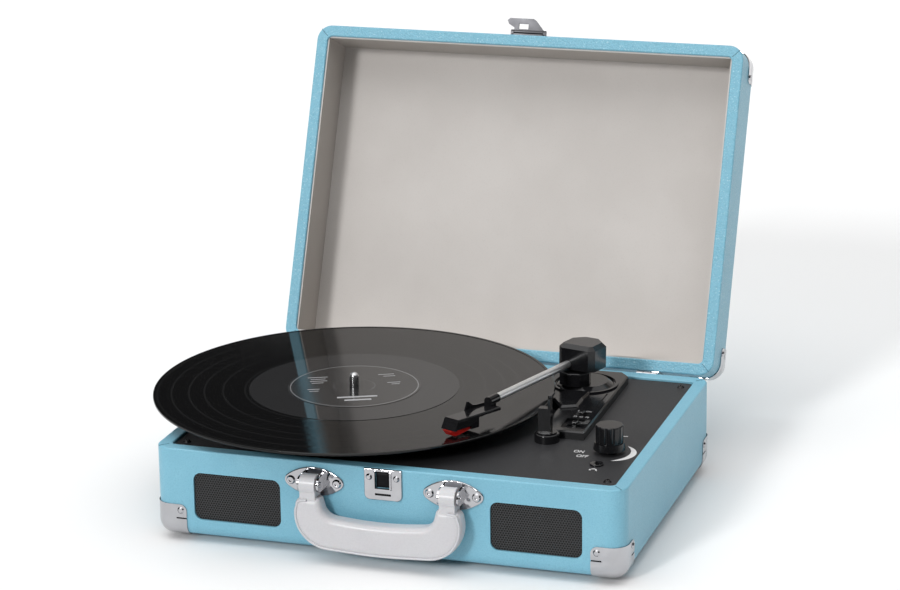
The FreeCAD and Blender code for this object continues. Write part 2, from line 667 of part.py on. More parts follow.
def handle():
    pin_y = FRONT - s.pin_out
    back = pin_y + s.handle_thick / 2
    right = [
        (s.handle_top * 0.0, s.handle_low),
        (s.handle_out, s.handle_corner_z),
        (s.handle_arm_out, s.handle_shoulder),
        (s.handle_arm_in, s.handle_shoulder),
        (s.handle_in, s.handle_inner_z),
        (s.handle_top * 0.0, s.handle_top),
    ]
    left = [(-x, z) for x, z in reversed(right[1:-1])]
    body = padded("handle_loop", "XZ_Plane", right + left, s.handle_thick, -back)
    softened(body, s.handle_round, lambda edge: along(edge, Y_AXIS) and near(edge, x=s.handle_out))
    softened(body, s.handle_inner_round,
             lambda edge: along(edge, Y_AXIS) and near(edge, x=s.handle_in))
    softened(body, 6.0, lambda edge: along(edge, Y_AXIS) and near(edge, x=s.handle_arm_out))
    softened(body, 2.5, lambda edge: along(edge, Y_AXIS) and near(edge, x=s.handle_arm_in))
    softened(body, s.handle_bow, lambda edge: along(edge, Y_AXIS) and near(edge, x=0.0))
    front = back - s.handle_thick
    softened(body, s.handle_edge,
             lambda edge: at_level(edge, "Y", back) or at_level(edge, "Y", front))
    parts, holes = [body], []
    for _, side in LEFT_RIGHT:
        x = side * s.handle_x - s.arm_half
        parts.append(rod("arm_end", s.arm_radius, s.arm_half * 2, (x, pin_y, s.pin_z), X_AXIS))
        low = s.handle_shoulder - 8.0
        size = (s.arm_half * 2, s.arm_radius * 2 - 3.0, s.pin_z - low)
        parts.append(box("arm", (x, pin_y - s.arm_radius + 1.5, low), size))
        holes.append(rod("arm_bore", s.pin_radius + s.pin_gap, s.arm_half * 2,
                         (x, pin_y, s.pin_z), X_AXIS))
    keep(cut("handle_bored", join("handle_solid", parts), holes), "carry_handle")


# ---- catch and hasp --------------------------------------------------------------------------


def catch():
    tall = s.catch_high - s.catch_low
    centre = (0.0 * tall, (s.catch_high + s.catch_low) / 2)
    outline = rectangle(s.catch_wide, tall, centre)
    body = padded("catch", "XZ_Plane", outline, s.catch_thick, -FRONT)
    softened(body, s.catch_round, lambda edge: along(edge, Y_AXIS) and near(edge, z=s.catch_low))
    front = FRONT - s.catch_thick
    softened(body, 0.6, lambda edge: at_level(edge, "Y", front))
    window_tall = s.window_high - s.window_low
    window_at = (0.0 * tall, (s.window_high + s.window_low) / 2)
    window = rectangle(s.window_wide, window_tall, window_at)
    pocketed(body, "XZ_Plane", window, s.catch_thick, -front)
    slot = rectangle(s.slot_wide, s.slot_tall, (0.0 * tall, s.slot_low + s.slot_tall / 2))
    pocketed(body, "XZ_Plane", slot, s.catch_thick, -front)
    keep(body, "catch_plate")
    keeper = padded("keeper", "XZ_Plane", window, s.catch_thick + s.keeper_out, -FRONT)
    softened(keeper, 1.8, lambda edge: along(edge, Y_AXIS) and near(edge, z=s.window_low))
    skin = s.keeper_skin
    inner = rectangle(s.window_wide - skin * 2, window_tall, (window_at[0], window_at[1] + skin))
    pocketed(keeper, "XZ_Plane", inner, s.catch_thick + s.keeper_out, -front + s.keeper_out)
    keep(keeper, "catch_keeper")
    rivets = [
        taper("catch_rivet", 2.4, 1.4, 1.3, (side * s.catch_rivet_x, front, s.catch_rivet_z),
              -Y_AXIS)
        for _, side in LEFT_RIGHT
    ]
    keep(group("catch_rivet_pair", rivets), "catch_rivets")


def lid_place():
    """The lid's own placement: turned back about the hinges to its open stop."""
    axis_at = Vector(0, number(BACK + s.hinge_out), number(s.hinge_z))
    return Placement(Vector(0, 0, 0), Rotation(X_AXIS, -number(s.lid_open)), axis_at)


def on_lid(name, items, node):
    """A sub-part modelled on the closed lid, carried round to the open lid."""
    item = group(name, items)
    item.Placement = lid_place()
    return keep(item, node)


def hasp():
    axis_y = FRONT - s.hasp_axis_out
    plate = box("hasp_leaf", (-s.hasp_plate_wide / 2, FRONT - s.hasp_plate_thick,
                              s.hasp_plate_low),
                (s.hasp_plate_wide, s.hasp_plate_thick, s.hasp_plate_high - s.hasp_plate_low))
    plate = rounds("hasp_leaf_round", plate, 3.0, lambda edge: along(edge, Y_AXIS))
    parts = [plate]
    half = s.hasp_wide / 2
    for side_x in (half + 0.2, -half - 0.2 - s.hasp_ear):
        parts.append(rod("hasp_ear_disc", s.hasp_knuckle, s.hasp_ear,
                         (side_x, axis_y, s.hasp_axis_z), X_AXIS))
        parts.append(box("hasp_ear_web", (side_x, axis_y, s.hasp_axis_z - s.hasp_knuckle),
                         (s.hasp_ear, s.hasp_axis_out - 0.2, s.hasp_knuckle * 2)))
    parts.append(rod("hasp_pin", s.hasp_pin_radius, s.hasp_wide + 1.0,
                     (-half - 0.5, axis_y, s.hasp_axis_z), X_AXIS))
    on_lid("hasp_bracket_open", [join("hasp_bracket_solid", parts)], "hasp_bracket")
    # The loop stands straight out of the lid's front wall.
    outline = [(-12.0, -1.2), (12.0, -1.2), (12.0, 2.0), (5.5, 9.5), (3.5, 10.8),
               (-16.0, 10.8), (-18.2, 9.0), (-16.8, 6.0), (-12.0, 3.2)]
    tongue = padded("hasp_tongue", "XY_Plane", [(x, axis_y - out) for x, out in outline],
                    s.hasp_thick, s.hasp_axis_z - s.hasp_thick / 2)
    barrel = rod("hasp_barrel", s.hasp_knuckle, s.hasp_wide, (-half, axis_y, s.hasp_axis_z),
                 X_AXIS)
    bore = rod("hasp_bore", s.hasp_pin_radius + s.hasp_hole_gap, s.hasp_wide,
               (-half, axis_y, s.hasp_axis_z), X_AXIS)
    window = box("hasp_window", (s.hasp_window_x - s.hasp_window_wide / 2,
                                 axis_y - 2.2 - s.hasp_window_long, s.hasp_axis_z - s.hasp_thick),
                 (s.hasp_window_wide, s.hasp_window_long, s.hasp_thick * 2))
    loop = cut("hasp_loop_cut", join("hasp_loop_solid", [tongue, barrel]), [bore, window])
    on_lid("hasp_loop_open", [loop], "hasp_loop")


# ---- hinges ----------------------------------------------------------------------------------


def hinges():
    axis_y, axis_z = BACK + s.hinge_out, s.hinge_z
    base_leaves, lid_leaves, pins, base_screws, lid_screws = [], [], [], [], []
    outer = (s.hinge_wide - s.hinge_knuckle) / 2 - s.hinge_gap
    bore_radius = s.hinge_pin_radius + 0.05
    for _, side in LEFT_RIGHT:
        centre = side * s.hinge_x
        low_x = centre - s.hinge_wide / 2
        mid_x = centre - s.hinge_knuckle / 2
        leaf = box("base_leaf", (low_x, BACK, axis_z - s.hinge_leaf_tall - 3.4),
                   (s.hinge_wide, s.hinge_leaf, s.hinge_leaf_tall))
        web = box("base_web", (mid_x, BACK, axis_z - 3.6),
                  (s.hinge_knuckle, s.hinge_out, 2.2))
        riser = box("base_riser", (mid_x, axis_y - 1.2, axis_z - 3.6), (s.hinge_knuckle, 1.2, 2.2))
        barrel = rod("base_barrel", s.hinge_barrel, s.hinge_knuckle, (mid_x, axis_y, axis_z),
                     X_AXIS)
        bore = rod("base_bore", s.hinge_pin_radius, s.hinge_knuckle, (mid_x, axis_y, axis_z),
                   X_AXIS)
        base_leaves.append(cut("base_hinge", join("base_hinge_solid", [leaf, web, riser, barrel]),
                               [bore]))
        seam = s.lid_seam + 0.4
        parts = [box("lid_leaf", (low_x, BACK, seam), (s.hinge_wide, s.hinge_leaf,
                                                       s.hinge_leaf_tall))]
        bores = []
        for start in (low_x, mid_x + s.hinge_knuckle + s.hinge_gap):
            parts.append(box("lid_web", (start, BACK + 0.4, axis_z), (outer, s.hinge_out - 0.4,
                                                                       seam + 2.2 - axis_z)))
            parts.append(rod("lid_barrel", s.hinge_barrel, outer, (start, axis_y, axis_z), X_AXIS))
            bores.append(rod("lid_bore", bore_radius, outer, (start, axis_y, axis_z), X_AXIS))
        lid_leaves.append(cut("lid_hinge", join("lid_hinge_solid", parts), bores))
        pins.append(rod("hinge_pin", s.hinge_pin_radius, s.hinge_wide + 1.0,
                        (low_x - 0.5, axis_y, axis_z), X_AXIS))
        for end in (-1.0, 1.0):
            x = centre + end * s.hinge_screw_x
            y = BACK + s.hinge_leaf
            base_screws.append(taper("base_leaf_screw", 2.2, 1.2, 0.8,
                                     (x, y, axis_z - 3.4 - s.hinge_screw_off), Y_AXIS))
            lid_screws.append(taper("lid_leaf_screw", 2.2, 1.2, 0.8,
                                    (x, y, seam + s.hinge_screw_off), Y_AXIS))
    keep(group("base_hinges", base_leaves), "hinge_base_leaves")
    keep(group("hinge_pin_pair", pins), "hinge_pins")
    keep(group("base_leaf_screws", base_screws), "hinge_base_screws")
    on_lid("lid_hinges", lid_leaves, "hinge_lid_leaves")
    on_lid("lid_leaf_screws", lid_screws, "hinge_lid_screws")


# ---- lid -------------------------------------------------------------------------------------


def lid():
    body = padded("lid", "XY_Plane", rectangle(s.case_wide, s.case_deep), s.lid_tall, s.lid_seam)
    high = s.lid_seam + s.lid_tall
    softened(body, s.corner_round, lambda edge: along(edge, Z_AXIS))
    softened(body, s.edge_round, lambda edge: at_level(edge, "Z", high))
    thick = s.wall - s.lining_thick
    deep = s.lid_tall - s.lid_panel
    inner = rectangle(s.case_wide - thick * 2, s.case_deep - thick * 2)
    pocketed(body, "XY_Plane", inner, deep, s.lid_seam, reverse=True)
    inner_x = s.case_wide / 2 - thick
    softened(body, s.well_round, lambda edge: along(edge, Z_AXIS) and near(edge, x=inner_x))
    softened(body, s.rim_round, lambda edge: at_level(edge, "Z", s.lid_seam))
    on_lid("lid_shell_open", [body], "lid_shell")
    low = s.lid_seam + s.rim_round + 0.6
    tray = padded("lining", "XY_Plane", inner, s.lid_seam + deep - low, low)
    softened(tray, s.well_round, lambda edge: along(edge, Z_AXIS))
    skin = s.lining_thick
    hollow = rectangle(s.case_wide - s.wall * 2, s.case_deep - s.wall * 2)
    pocketed(tray, "XY_Plane", hollow, s.lid_seam + deep - low - skin, low, reverse=True)
    on_lid("lining_open", [tray], "lid_lining")
    corners, rivets = metal_corners("lid", s.lid_seam, s.lid_tall, False)
    on_lid("lid_corners", corners, "lid_corner_protectors")
    on_lid("lid_rivets", rivets, "lid_corner_rivets")


# ---- platter and drive -----------------------------------------------------------------------


def spindle_rod(name, radius, low, high):
    return rod(name, radius, high - low, (s.spindle_x, s.spindle_y, low))


def platter():
    top = s.platter_top
    under = top - s.platter_plate
    plate = spindle_rod("platter_plate", s.platter_radius, under, top)
    skirt = cut("skirt", spindle_rod("skirt_outer", s.platter_radius, s.platter_low, under),
                [spindle_rod("skirt_inner", s.platter_radius - s.platter_skirt, s.platter_low,
                             under)])
    ring = cut("ring", spindle_rod("ring_outer", s.belt_ring, s.platter_low, under),
               [spindle_rod("ring_inner", s.belt_ring - s.belt_ring_skin, s.platter_low, under)])
    hub = spindle_rod("hub", s.platter_hub, s.hub_low, under)
    bore = spindle_rod("platter_bore", s.spindle_radius, s.hub_low, top)
    keep(cut("platter_bored", join("platter_solid", [plate, skirt, ring, hub]), [bore]),
         "platter")
    mat_top = top + s.mat_thick
    keep(cut("mat", spindle_rod("mat_disc", s.mat_radius, top, mat_top),
             [spindle_rod("mat_hole", s.spindle_radius, top, mat_top)]), "platter_mat")
    tip = s.spindle_top
    straight = tip - s.spindle_tip_radius
    neck_top = mat_top + s.record_thick + s.label_thick + s.neck_over
    keep(join("spindle_solid", [
        spindle_rod("shaft", s.shaft_radius, s.shaft_low, s.hub_low),
        spindle_rod("seat", s.spindle_radius, s.hub_low, mat_top),
        spindle_rod("neck", s.spindle_neck, mat_top, neck_top),
        spindle_rod("tip", s.spindle_tip_radius, neck_top, straight),
        common("tip_dome", [
            ball("tip_ball", s.spindle_tip_radius, (s.spindle_x, s.spindle_y, straight)),
            spindle_rod("tip_half", s.spindle_tip_radius, straight, tip),
        ]),
    ]), "spindle")


def record():
    low = s.platter_top + s.mat_thick
    high = low + s.record_thick
    disc = spindle_rod("disc", s.record_radius, low, high)
    disc = rounds("disc_soft", disc, 0.6, lambda edge: abs(edge.Length) > 900)
    sink = high - s.groove_sink
    grooves = cut("grooves", spindle_rod("groove_outer", s.groove_outer, sink, high),
                  [spindle_rod("groove_inner", s.run_out_radius, sink, high)])
    hole = spindle_rod("disc_hole", s.spindle_tip_radius, low, high)
    keep(cut("record_cut", disc, [grooves, hole]), "vinyl_record")
    label_top = high + s.label_thick
    keep(cut("label", spindle_rod("label_disc", s.label_radius, high, label_top),
             [spindle_rod("label_hole", s.spindle_tip_radius, high, label_top)]), "record_label")


def drive():
    bore = s.shaft_radius + s.shaft_gap
    deck_low = s.deck_top - s.deck_thick
    sleeve = spindle_rod("sleeve", s.bush_radius, s.bush_low, s.bush_top)
    flange = spindle_rod("bush_flange", s.bush_flange, deck_low - 3.0, deck_low)
    hole = spindle_rod("bush_bore", bore, s.bush_low, s.bush_top)
    keep(cut("bush", join("bush_solid", [sleeve, flange]), [hole]), "spindle_bearing")
    x, y = pulley_centre()
    can = rod("can", s.motor_radius, deck_low - s.motor_low, (x, y, s.motor_low))
    can = rounds("can_soft", can, 1.5, lambda edge: at_level(edge, "Z", s.motor_low))
    nose = rod("nose", s.pulley_radius, s.deck_thick, (x, y, deck_low))
    shaft_hole = rod("motor_bore", s.motor_shaft + s.shaft_gap,
                     s.deck_top - s.motor_low - 6.0, (x, y, s.motor_low + 6.0))
    keep(cut("motor_solid", join("motor_body", [can, nose]), [shaft_hole]), "motor")
    shaft_low = s.motor_low + 7.0
    wheel = rod("wheel", s.pulley_radius, s.pulley_high - s.pulley_low, (x, y, s.pulley_low))
    shaft = rod("motor_shaft_rod", s.motor_shaft, s.pulley_low - shaft_low, (x, y, shaft_low))
    keep(join("pulley", [wheel, shaft]), "motor_pulley")


def belt_outline(grow):
    """The belt's loop, grown outwards: two arcs about the ring and the pulley, and two tangents."""
    ring = number(s.belt_ring) + grow
    pulley = number(s.pulley_radius) + grow
    reach = number(s.pulley_reach)
    turn = math.acos((ring - pulley) / reach)

    def point(centre, radius, angle):
        return Vector(centre + radius * math.cos(angle), radius * math.sin(angle), 0)

    far = Part.Arc(point(reach, pulley, turn), point(reach, pulley, 0.0),
                   point(reach, pulley, -turn))
    back = Part.Arc(point(0.0, ring, -turn), point(0.0, ring, math.pi), point(0.0, ring, turn))
    over = Part.LineSegment(point(0.0, ring, turn), point(reach, pulley, turn))
    under = Part.LineSegment(point(reach, pulley, -turn), point(0.0, ring, -turn))
    return Part.Wire([edge.toShape() for edge in (over, far, under, back)])


def drive_belt():
    inner = number(s.belt_gap)
    outer = inner + number(s.belt_thick)
    tall = Vector(0, 0, number(s.belt_wide))
    band = Part.Face(belt_outline(outer)).extrude(tall)
    hole = Part.Face(belt_outline(inner)).extrude(tall)
    item = doc.addObject("Part::Feature", "belt")
    item.Shape = band.cut(hole)
    start = Vector(number(s.spindle_x), number(s.spindle_y), number(s.belt_low))
    item.Placement = Placement(start, Rotation(Z_AXIS, number(s.pulley_bearing)))
    keep(item, "drive_belt")


# ---- tonearm ---------------------------------------------------------------------------------


def switch_places():
    return ((s.speed_x, s.speed_y, s.speed_travel), (s.stop_x, s.stop_y, s.stop_travel))


def tonearm_plate():
    outline = [(100.3, -29.0), (119.3, -29.0), (117.5, 106.0), (111.0, 114.0), (78.0, 114.0),
               (62.0, 98.0), (62.0, 64.0), (72.0, 42.0), (86.0, 25.0), (86.0, -26.0)]
    thick = s.plate_top - s.deck_top
    body = padded("arm_board", "XY_Plane", outline, thick, s.deck_top)
    softened(body, 1.0, lambda edge: at_level(edge, "Z", s.plate_top), "PartDesign::Chamfer")
    recess = rectangle(s.recess_wide, s.recess_long, (s.speed_x + 0.5, s.speed_y))
    pocketed(body, "XY_Plane", recess, s.recess_deep, s.plate_top)
    small = rectangle(s.recess_wide * 0.65, s.recess_wide * 0.4, (s.stop_x, s.stop_y))
    pocketed(body, "XY_Plane", small, s.recess_deep / 2, s.plate_top)
    centre = (s.arm_x, s.arm_y)
    lobe = rod("rest_lobe_disc", s.rest_lobe, thick, (s.rest_x, s.rest_y, s.deck_top))
    lobe = rounds("rest_lobe_soft", lobe, 1.0, lambda edge: at_level(edge, "Z", s.plate_top))
    plinth = padded("plinth", "XY_Plane", [(77.3, 35.4), (88.4, 18.1), (99.9, 23.6),
                                           (99.6, 41.5), (100.9, 58.0), (80.0, 58.0)],
                    s.plinth_tall, s.plate_top)
    softened(plinth, 1.5, lambda edge: at_level(edge, "Z", s.plate_top + s.plinth_tall),
             "PartDesign::Chamfer")
    dome = taper("dome", s.dome_low_radius, s.dome_high_radius, s.dome_tall,
                 (*centre, s.plate_top))
    ring = cut("ring_step", rod("ring_out", s.ring_radius, s.ring_tall, (*centre, s.plate_top)),
               [rod("ring_in", s.ring_radius - s.ring_width, s.ring_tall,
                    (*centre, s.plate_top))])
    bore = rod("arm_bore_hole", s.arm_shaft_radius + s.shaft_gap, thick + s.dome_tall,
               (*centre, s.deck_top))
    tools = [bore]
    for x, y, travel in switch_places():
        stem = travel + s.slot_deep
        tools.append(box("plate_slot", (x - stem / 2, y - s.slot_deep / 2, s.deck_top),
                         (stem, s.slot_deep, thick)))
    tools.append(box("edge_groove", (112.6, 32.0, s.plate_top - 0.8), (1.0, 28.0, 0.8)))
    solid = join("arm_plate_solid", [body, lobe, plinth, dome, ring])
    keep(cut("arm_plate_cut", solid, tools), "tonearm_base_plate")


def arm_rest():
    """The post that holds the parked tube, with a clip that turns over it."""
    foot = rod("rest_foot_disc", s.rest_foot, s.rest_foot_tall, (s.rest_x, s.rest_y, s.plate_top))
    front = s.rest_post_y - s.saddle_deep / 2
    low = s.plate_top + s.rest_foot_tall
    post = box("rest_post", (s.rest_left, front, low),
               (s.rest_right - s.rest_left, s.saddle_deep, s.saddle_z - low))
    prong = box("rest_prong", (s.rest_right - s.prong_wide, front, s.saddle_z),
                (s.prong_wide, s.saddle_deep, s.prong_top - s.saddle_z))
    pin_x = s.rest_right - s.prong_wide / 2
    clip_low = s.prong_top + s.clip_lift
    pin = rod("rest_pin", s.clip_pin, s.clip_lift + s.clip_thick,
              (pin_x, s.rest_post_y, s.prong_top))
    keep(join("arm_rest_solid", [foot, post, prong, pin]), "arm_rest")
    knuckle = rod("clip_knuckle", s.clip_radius, s.clip_thick, (pin_x, s.rest_post_y, clip_low))
    arm = box("clip_arm", (pin_x - s.clip_wide / 2, s.rest_post_y, clip_low),
              (s.clip_wide, s.clip_long, s.clip_thick))
    hole = rod("clip_hole", s.clip_pin + s.shaft_gap, s.clip_thick,
               (pin_x, s.rest_post_y, clip_low))
    keep(cut("clip", join("clip_solid", [knuckle, arm]), [hole]), "arm_rest_clip")


def on_turret(name, items, node):
    """A sub-part modelled with the tonearm pointing along -Y, turned to where the arm stands."""
    item = group(name, items)
    item.Placement = turret_place()
    return keep(item, node)


def turret_place():
    return Placement(Vector(number(s.arm_x), number(s.arm_y), 0),
                     Rotation(Z_AXIS, number(s.arm_bearing)))


def on_arm(name, items, node):
    """The same for the tilting parts, whose front end is raised about the tilt pin."""
    item = group(name, items)
    rise = Placement(Vector(0, 0, 0), Rotation(X_AXIS, -number(s.arm_rise)),
                     Vector(0, 0, number(s.arm_z)))
    item.Placement = turret_place().multiply(rise)
    return keep(item, node)


def turret():
    drum = doc.addObject("Part::Prism", "drum")
    drum.Polygon = 8
    bind(drum, {"Circumradius": s.drum_radius, "Height": s.drum_high - s.drum_low})
    put(drum, (s.drum_x, s.drum_off, s.drum_low))
    drum = rounds("drum_soft", drum, 1.0, lambda edge: at_level(edge, "Z", s.drum_high))
    shaft = rod("arm_shaft", s.arm_shaft_radius, s.drum_high - s.arm_shaft_low,
                (0.0, 0.0, s.arm_shaft_low))
    half = s.neck_half
    neck = box("neck", (-half, -s.neck_deep / 2, s.drum_high - 2.0),
               (half * 2, s.neck_deep, s.arm_z - s.drum_high + 2.0))
    eye = rod("neck_eye", s.neck_radius, half * 2, (-half, 0.0, s.arm_z), X_AXIS)
    hole = rod("neck_hole", s.tilt_pin_radius + s.shaft_gap, half * 2, (-half, 0.0, s.arm_z),
               X_AXIS)
    solid = cut("turret_cut", join("turret_solid", [drum, shaft, neck, eye]), [hole])
    on_turret("turret_turned", [solid], "tonearm_turret")


def head():
    wide = s.head_right - s.head_left
    block = box("head_block", (s.head_left, s.head_front, s.head_low),
                (wide, s.head_back - s.head_front, s.head_high - s.head_low))
    for label, level, size in (("front", s.head_front, s.head_front_corner),
                               ("back", s.head_back, s.head_back_corner)):
        block = rounds(f"head_{label}_corners", block, size,
                       lambda edge: along(edge, Z_AXIS) and at_level(edge, "Y", level),
                       "Part::Chamfer")
    block = rounds("head_bevels", block, s.head_bevel,
                   lambda edge: at_level(edge, "Z", s.head_high), "Part::Chamfer")
    room = s.neck_half + 0.5
    pocket = box("head_pocket", (-room, -8.5, s.head_low),
                 (room * 2, 17.0, s.head_room_high - s.head_low))
    pin_start = s.head_left + 2.0
    pin_long = wide - 4.0
    pin_hole = rod("head_hole", s.tilt_pin_radius, pin_long, (pin_start, 0.0, s.arm_z), X_AXIS)
    tube_back = s.head_front + s.tube_seat
    seat = rod("tube_seat_hole", s.tube_radius, s.tube_seat, (s.tube_x, tube_back, s.arm_z),
               -Y_AXIS)
    on_arm("head_turned", [cut("head_cut", block, [pocket, pin_hole, seat])], "tonearm_head")
    pin = rod("tilt_pin_rod", s.tilt_pin_radius, pin_long, (pin_start, 0.0, s.arm_z), X_AXIS)
    on_arm("tilt_pin_turned", [pin], "tilt_pin")
    tube = rod("tube", s.tube_radius, tube_back - s.tube_front, (s.tube_x, tube_back, s.arm_z),
               -Y_AXIS)
    on_arm("tube_turned", [tube], "tonearm_tube")


def shell_profile(name, points, wide, offset):
    """A side outline, along the headshell and up, made as wide as given and centred on it."""
    flat = [(-1.0 * along_shell, up) for along_shell, up in points]
    return padded(name, "YZ_Plane", flat, wide, offset)


def headshell():
    wide = s.shell_wide
    shell_points = [(0.0, 84.8), (0.0, 87.0), (45.0, 87.0), (49.0, 79.3), (46.6, 79.3),
                    (46.4, 84.8)]
    shell = shell_profile("shell", shell_points, wide, -wide / 2)
    softened(shell, 0.9, lambda edge: abs(edge.BoundBox.Center.x) > number(wide) / 2 - 0.01
             and edge.BoundBox.ZMin > 86.9)
    lift_points = [(0.5, 86.0), (0.5, 88.4), (12.0, 88.7), (16.0, 89.6), (18.6, 91.4),
                   (20.3, 92.8), (21.2, 92.8), (22.4, 90.0), (24.0, 86.0)]
    lift = shell_profile("finger_lift", lift_points, s.lift_thick,
                         -wide / 2 - s.lift_thick + 0.4)
    cartridge_points = [(22.0, 76.7), (22.0, 84.7), (46.2, 84.7), (46.2, 79.2), (30.0, 79.2),
                        (30.0, 76.7)]
    cartridge = shell_profile("cart", cartridge_points, s.cartridge_wide,
                              -s.cartridge_wide / 2)
    stylus_points = [(30.0, 79.2), (49.2, 79.1), (51.2, 79.8), (46.8, 75.0), (42.0, 74.9),
                     (30.0, 76.6)]
    red = shell_profile("stylus_body", stylus_points, s.stylus_wide, -s.stylus_wide / 2)
    needle = taper("needle", 0.3, 0.9, 76.6 - s.needle_low,
                   (0.0, -s.needle_reach, s.needle_low))
    parts = {
        "headshell": [join("shell_solid", [shell, lift])],
        "cartridge": [cartridge],
        "stylus": [join("stylus_solid", [red, needle])],
    }
    for node, items in parts.items():
        piece = group(f"{node}_turn", items)
        piece.Placement = Placement(Vector(number(s.shell_x), number(s.shell_y), 0),
                                    Rotation(Z_AXIS, number(s.shell_turn)))
        if node == "headshell":
            collar = rod("collar", s.collar_radius, s.collar_long,
                         (s.tube_x, s.collar_back, s.arm_z), -Y_AXIS)
            root = box("shell_root", (s.tube_x - 2.6, s.shell_y - 4.5, 84.8), (6.5, 6.0, 4.0))
            seat = rod("shell_seat", s.tube_radius, s.collar_back - s.tube_front,
                       (s.tube_x, s.collar_back, s.arm_z), -Y_AXIS)
            piece = cut("shell_seated", join("shell_collared", [piece, root, collar]), [seat])
        on_arm(f"{node}_turned", [piece], node)


# ---- controls, sockets, electronics ----------------------------------------------------------


def volume_knob():
    x, y = s.knob_x, s.knob_y
    skirt = taper("knob_skirt_cone", s.knob_skirt, s.knob_skirt - 1.0, s.knob_step - s.knob_low,
                  (x, y, s.knob_low))
    barrel = rod("knob_barrel", s.knob_radius, s.knob_top - s.knob_step, (x, y, s.knob_step))
    barrel = rounds("knob_soft", barrel, 1.0, lambda edge: at_level(edge, "Z", s.knob_top))
    flutes = []
    for i in range(int(number(s.flutes))):
        turn = 2 * math.pi * i / number(s.flutes)
        reach = s.knob_radius + s.flute_radius * 0.45
        at = (x + reach * math.cos(turn), y + reach * math.sin(turn), s.knob_step + 0.8)
        flutes.append(rod("flute", s.flute_radius, s.knob_top - s.knob_step, at))
    stem = rod("knob_stem_rod", s.knob_stem, s.knob_low - 54.0, (x, y, 54.0))
    collar = rod("knob_collar", 6.0, s.knob_low - s.deck_top - 0.4, (x, y, s.deck_top + 0.4))
    fluted = cut("knob_fluted", barrel, flutes)
    keep(join("knob", [skirt, fluted, stem, collar]), "volume_knob")
    low = s.deck_top - s.deck_thick - s.pot_tall
    case = box("pot_case", (x - s.pot_wide / 2, y - s.pot_wide / 2, low),
               (s.pot_wide, s.pot_wide, s.pot_tall))
    hole = rod("pot_hole", s.knob_stem + s.shaft_gap, s.pot_tall, (x, y, low + 1.0))
    keep(cut("pot", case, [hole]), "volume_control")


def switches():
    stem_wide = s.slot_deep - 0.6
    for (x, y, _), node, deep in zip(switch_places(), ("speed_switch", "auto_stop_switch"),
                                     (s.recess_deep, s.recess_deep / 2)):
        seat = s.plate_top - deep + 0.3
        cap = box(f"{node}_cap", (x - 2.0, y - 2.6, seat), (4.0, 5.2, 3.2))
        cap = rounds(f"{node}_soft", cap, 0.7, lambda edge: edge.BoundBox.ZMax > number(seat) + 3)
        stem = box(f"{node}_stem", (x - stem_wide / 2, y - stem_wide / 2, s.deck_top - 3.0),
                   (stem_wide, stem_wide, seat - s.deck_top + 3.2))
        keep(join(f"{node}_solid", [cap, stem]), node)


def sockets():
    x, y = s.phone_x, s.phone_y
    nut = rod("phone_nut_disc", s.phone_nut, s.phone_nut_tall, (x, y, s.deck_top))
    nut = rounds("phone_nut_soft", nut, 0.5,
                 lambda edge: at_level(edge, "Z", s.deck_top + s.phone_nut_tall))
    barrel = rod("phone_barrel_rod", s.phone_barrel, s.deck_top - s.phone_low, (x, y, s.phone_low))
    bore = rod("phone_hole", s.phone_bore, s.deck_top + s.phone_nut_tall - s.phone_low,
               (x, y, s.phone_low + 2.0))
    keep(cut("phone", join("phone_solid", [nut, barrel]), [bore]), "headphone_socket")
    px, pz = s.jack_plate_x, s.jack_plate_z
    outline = rectangle(s.jack_plate_wide, s.jack_plate_tall, (px, pz))
    plate = padded("jack_plate", "XZ_Plane", outline, s.jack_plate_thick,
                   -BACK - s.jack_plate_thick)
    softened(plate, 3.0, lambda edge: along(edge, Y_AXIS))
    back = BACK + s.jack_plate_thick
    places = [px + s.line_out_off + side * s.line_out_pitch / 2 for side in (-1.0, 1.0)]
    dc_x = px + s.dc_off
    stub = s.line_out_radius - 0.3
    holes = [rod("line_hole", stub, s.jack_plate_thick, (at, BACK, pz), Y_AXIS)
             for at in places]
    holes.append(rod("dc_hole", s.dc_radius, s.jack_plate_thick, (dc_x, BACK, pz), Y_AXIS))
    keep(cut("jack_plate_cut", plate, holes), "rear_socket_plate")
    sleeves = []
    for at in places:
        start = BACK - s.jack_hole_inset
        outer = rod("line_sleeve", s.line_out_radius, s.line_out_long, (at, back, pz), Y_AXIS)
        root = rod("line_root", stub, back - start, (at, start, pz), Y_AXIS)
        inner = rod("line_bore", s.line_out_bore, s.line_out_long, (at, back, pz), Y_AXIS)
        sleeves.append(cut("line_out", join("line_out_solid", [outer, root]), [inner]))
    keep(group("line_outs", sleeves), "line_out_sockets")
    start = back - s.dc_long - 2.0
    outer = rod("dc_body", s.dc_radius, s.dc_long + 2.0, (dc_x, start, pz), Y_AXIS)
    inner = rod("dc_hole_bore", s.dc_bore, s.dc_long, (dc_x, start + 2.0, pz), Y_AXIS)
    keep(cut("dc", outer, [inner]), "power_socket")


def electronics():
    corner = (s.board_x, s.board_y, s.board_z)
    board = box("board", corner, (s.board_wide, s.board_deep, s.board_thick))
    chip = box("chip", (s.board_x + 20.0, s.board_y + 16.0, s.board_z - 3.0), (14.0, 10.0, 3.0))
    caps = [rod("capacitor", 4.0, 11.0, (s.board_x + at, s.board_y + 38.0, s.board_z - 11.0))
            for at in (18.0, 32.0, 46.0)]
    keep(join("board_solid", [board, chip, *caps]), "main_board")
    high = s.deck_top - s.deck_thick
    top = s.board_z + s.board_thick
    posts = [rod("standoff", s.standoff_radius, high - top,
                 (s.board_x + x_in, s.board_y + y_in, top))
             for x_in in (5.0, s.board_wide - 5.0) for y_in in (5.0, s.board_deep - 5.0)]
    keep(group("standoffs", posts), "board_standoffs")


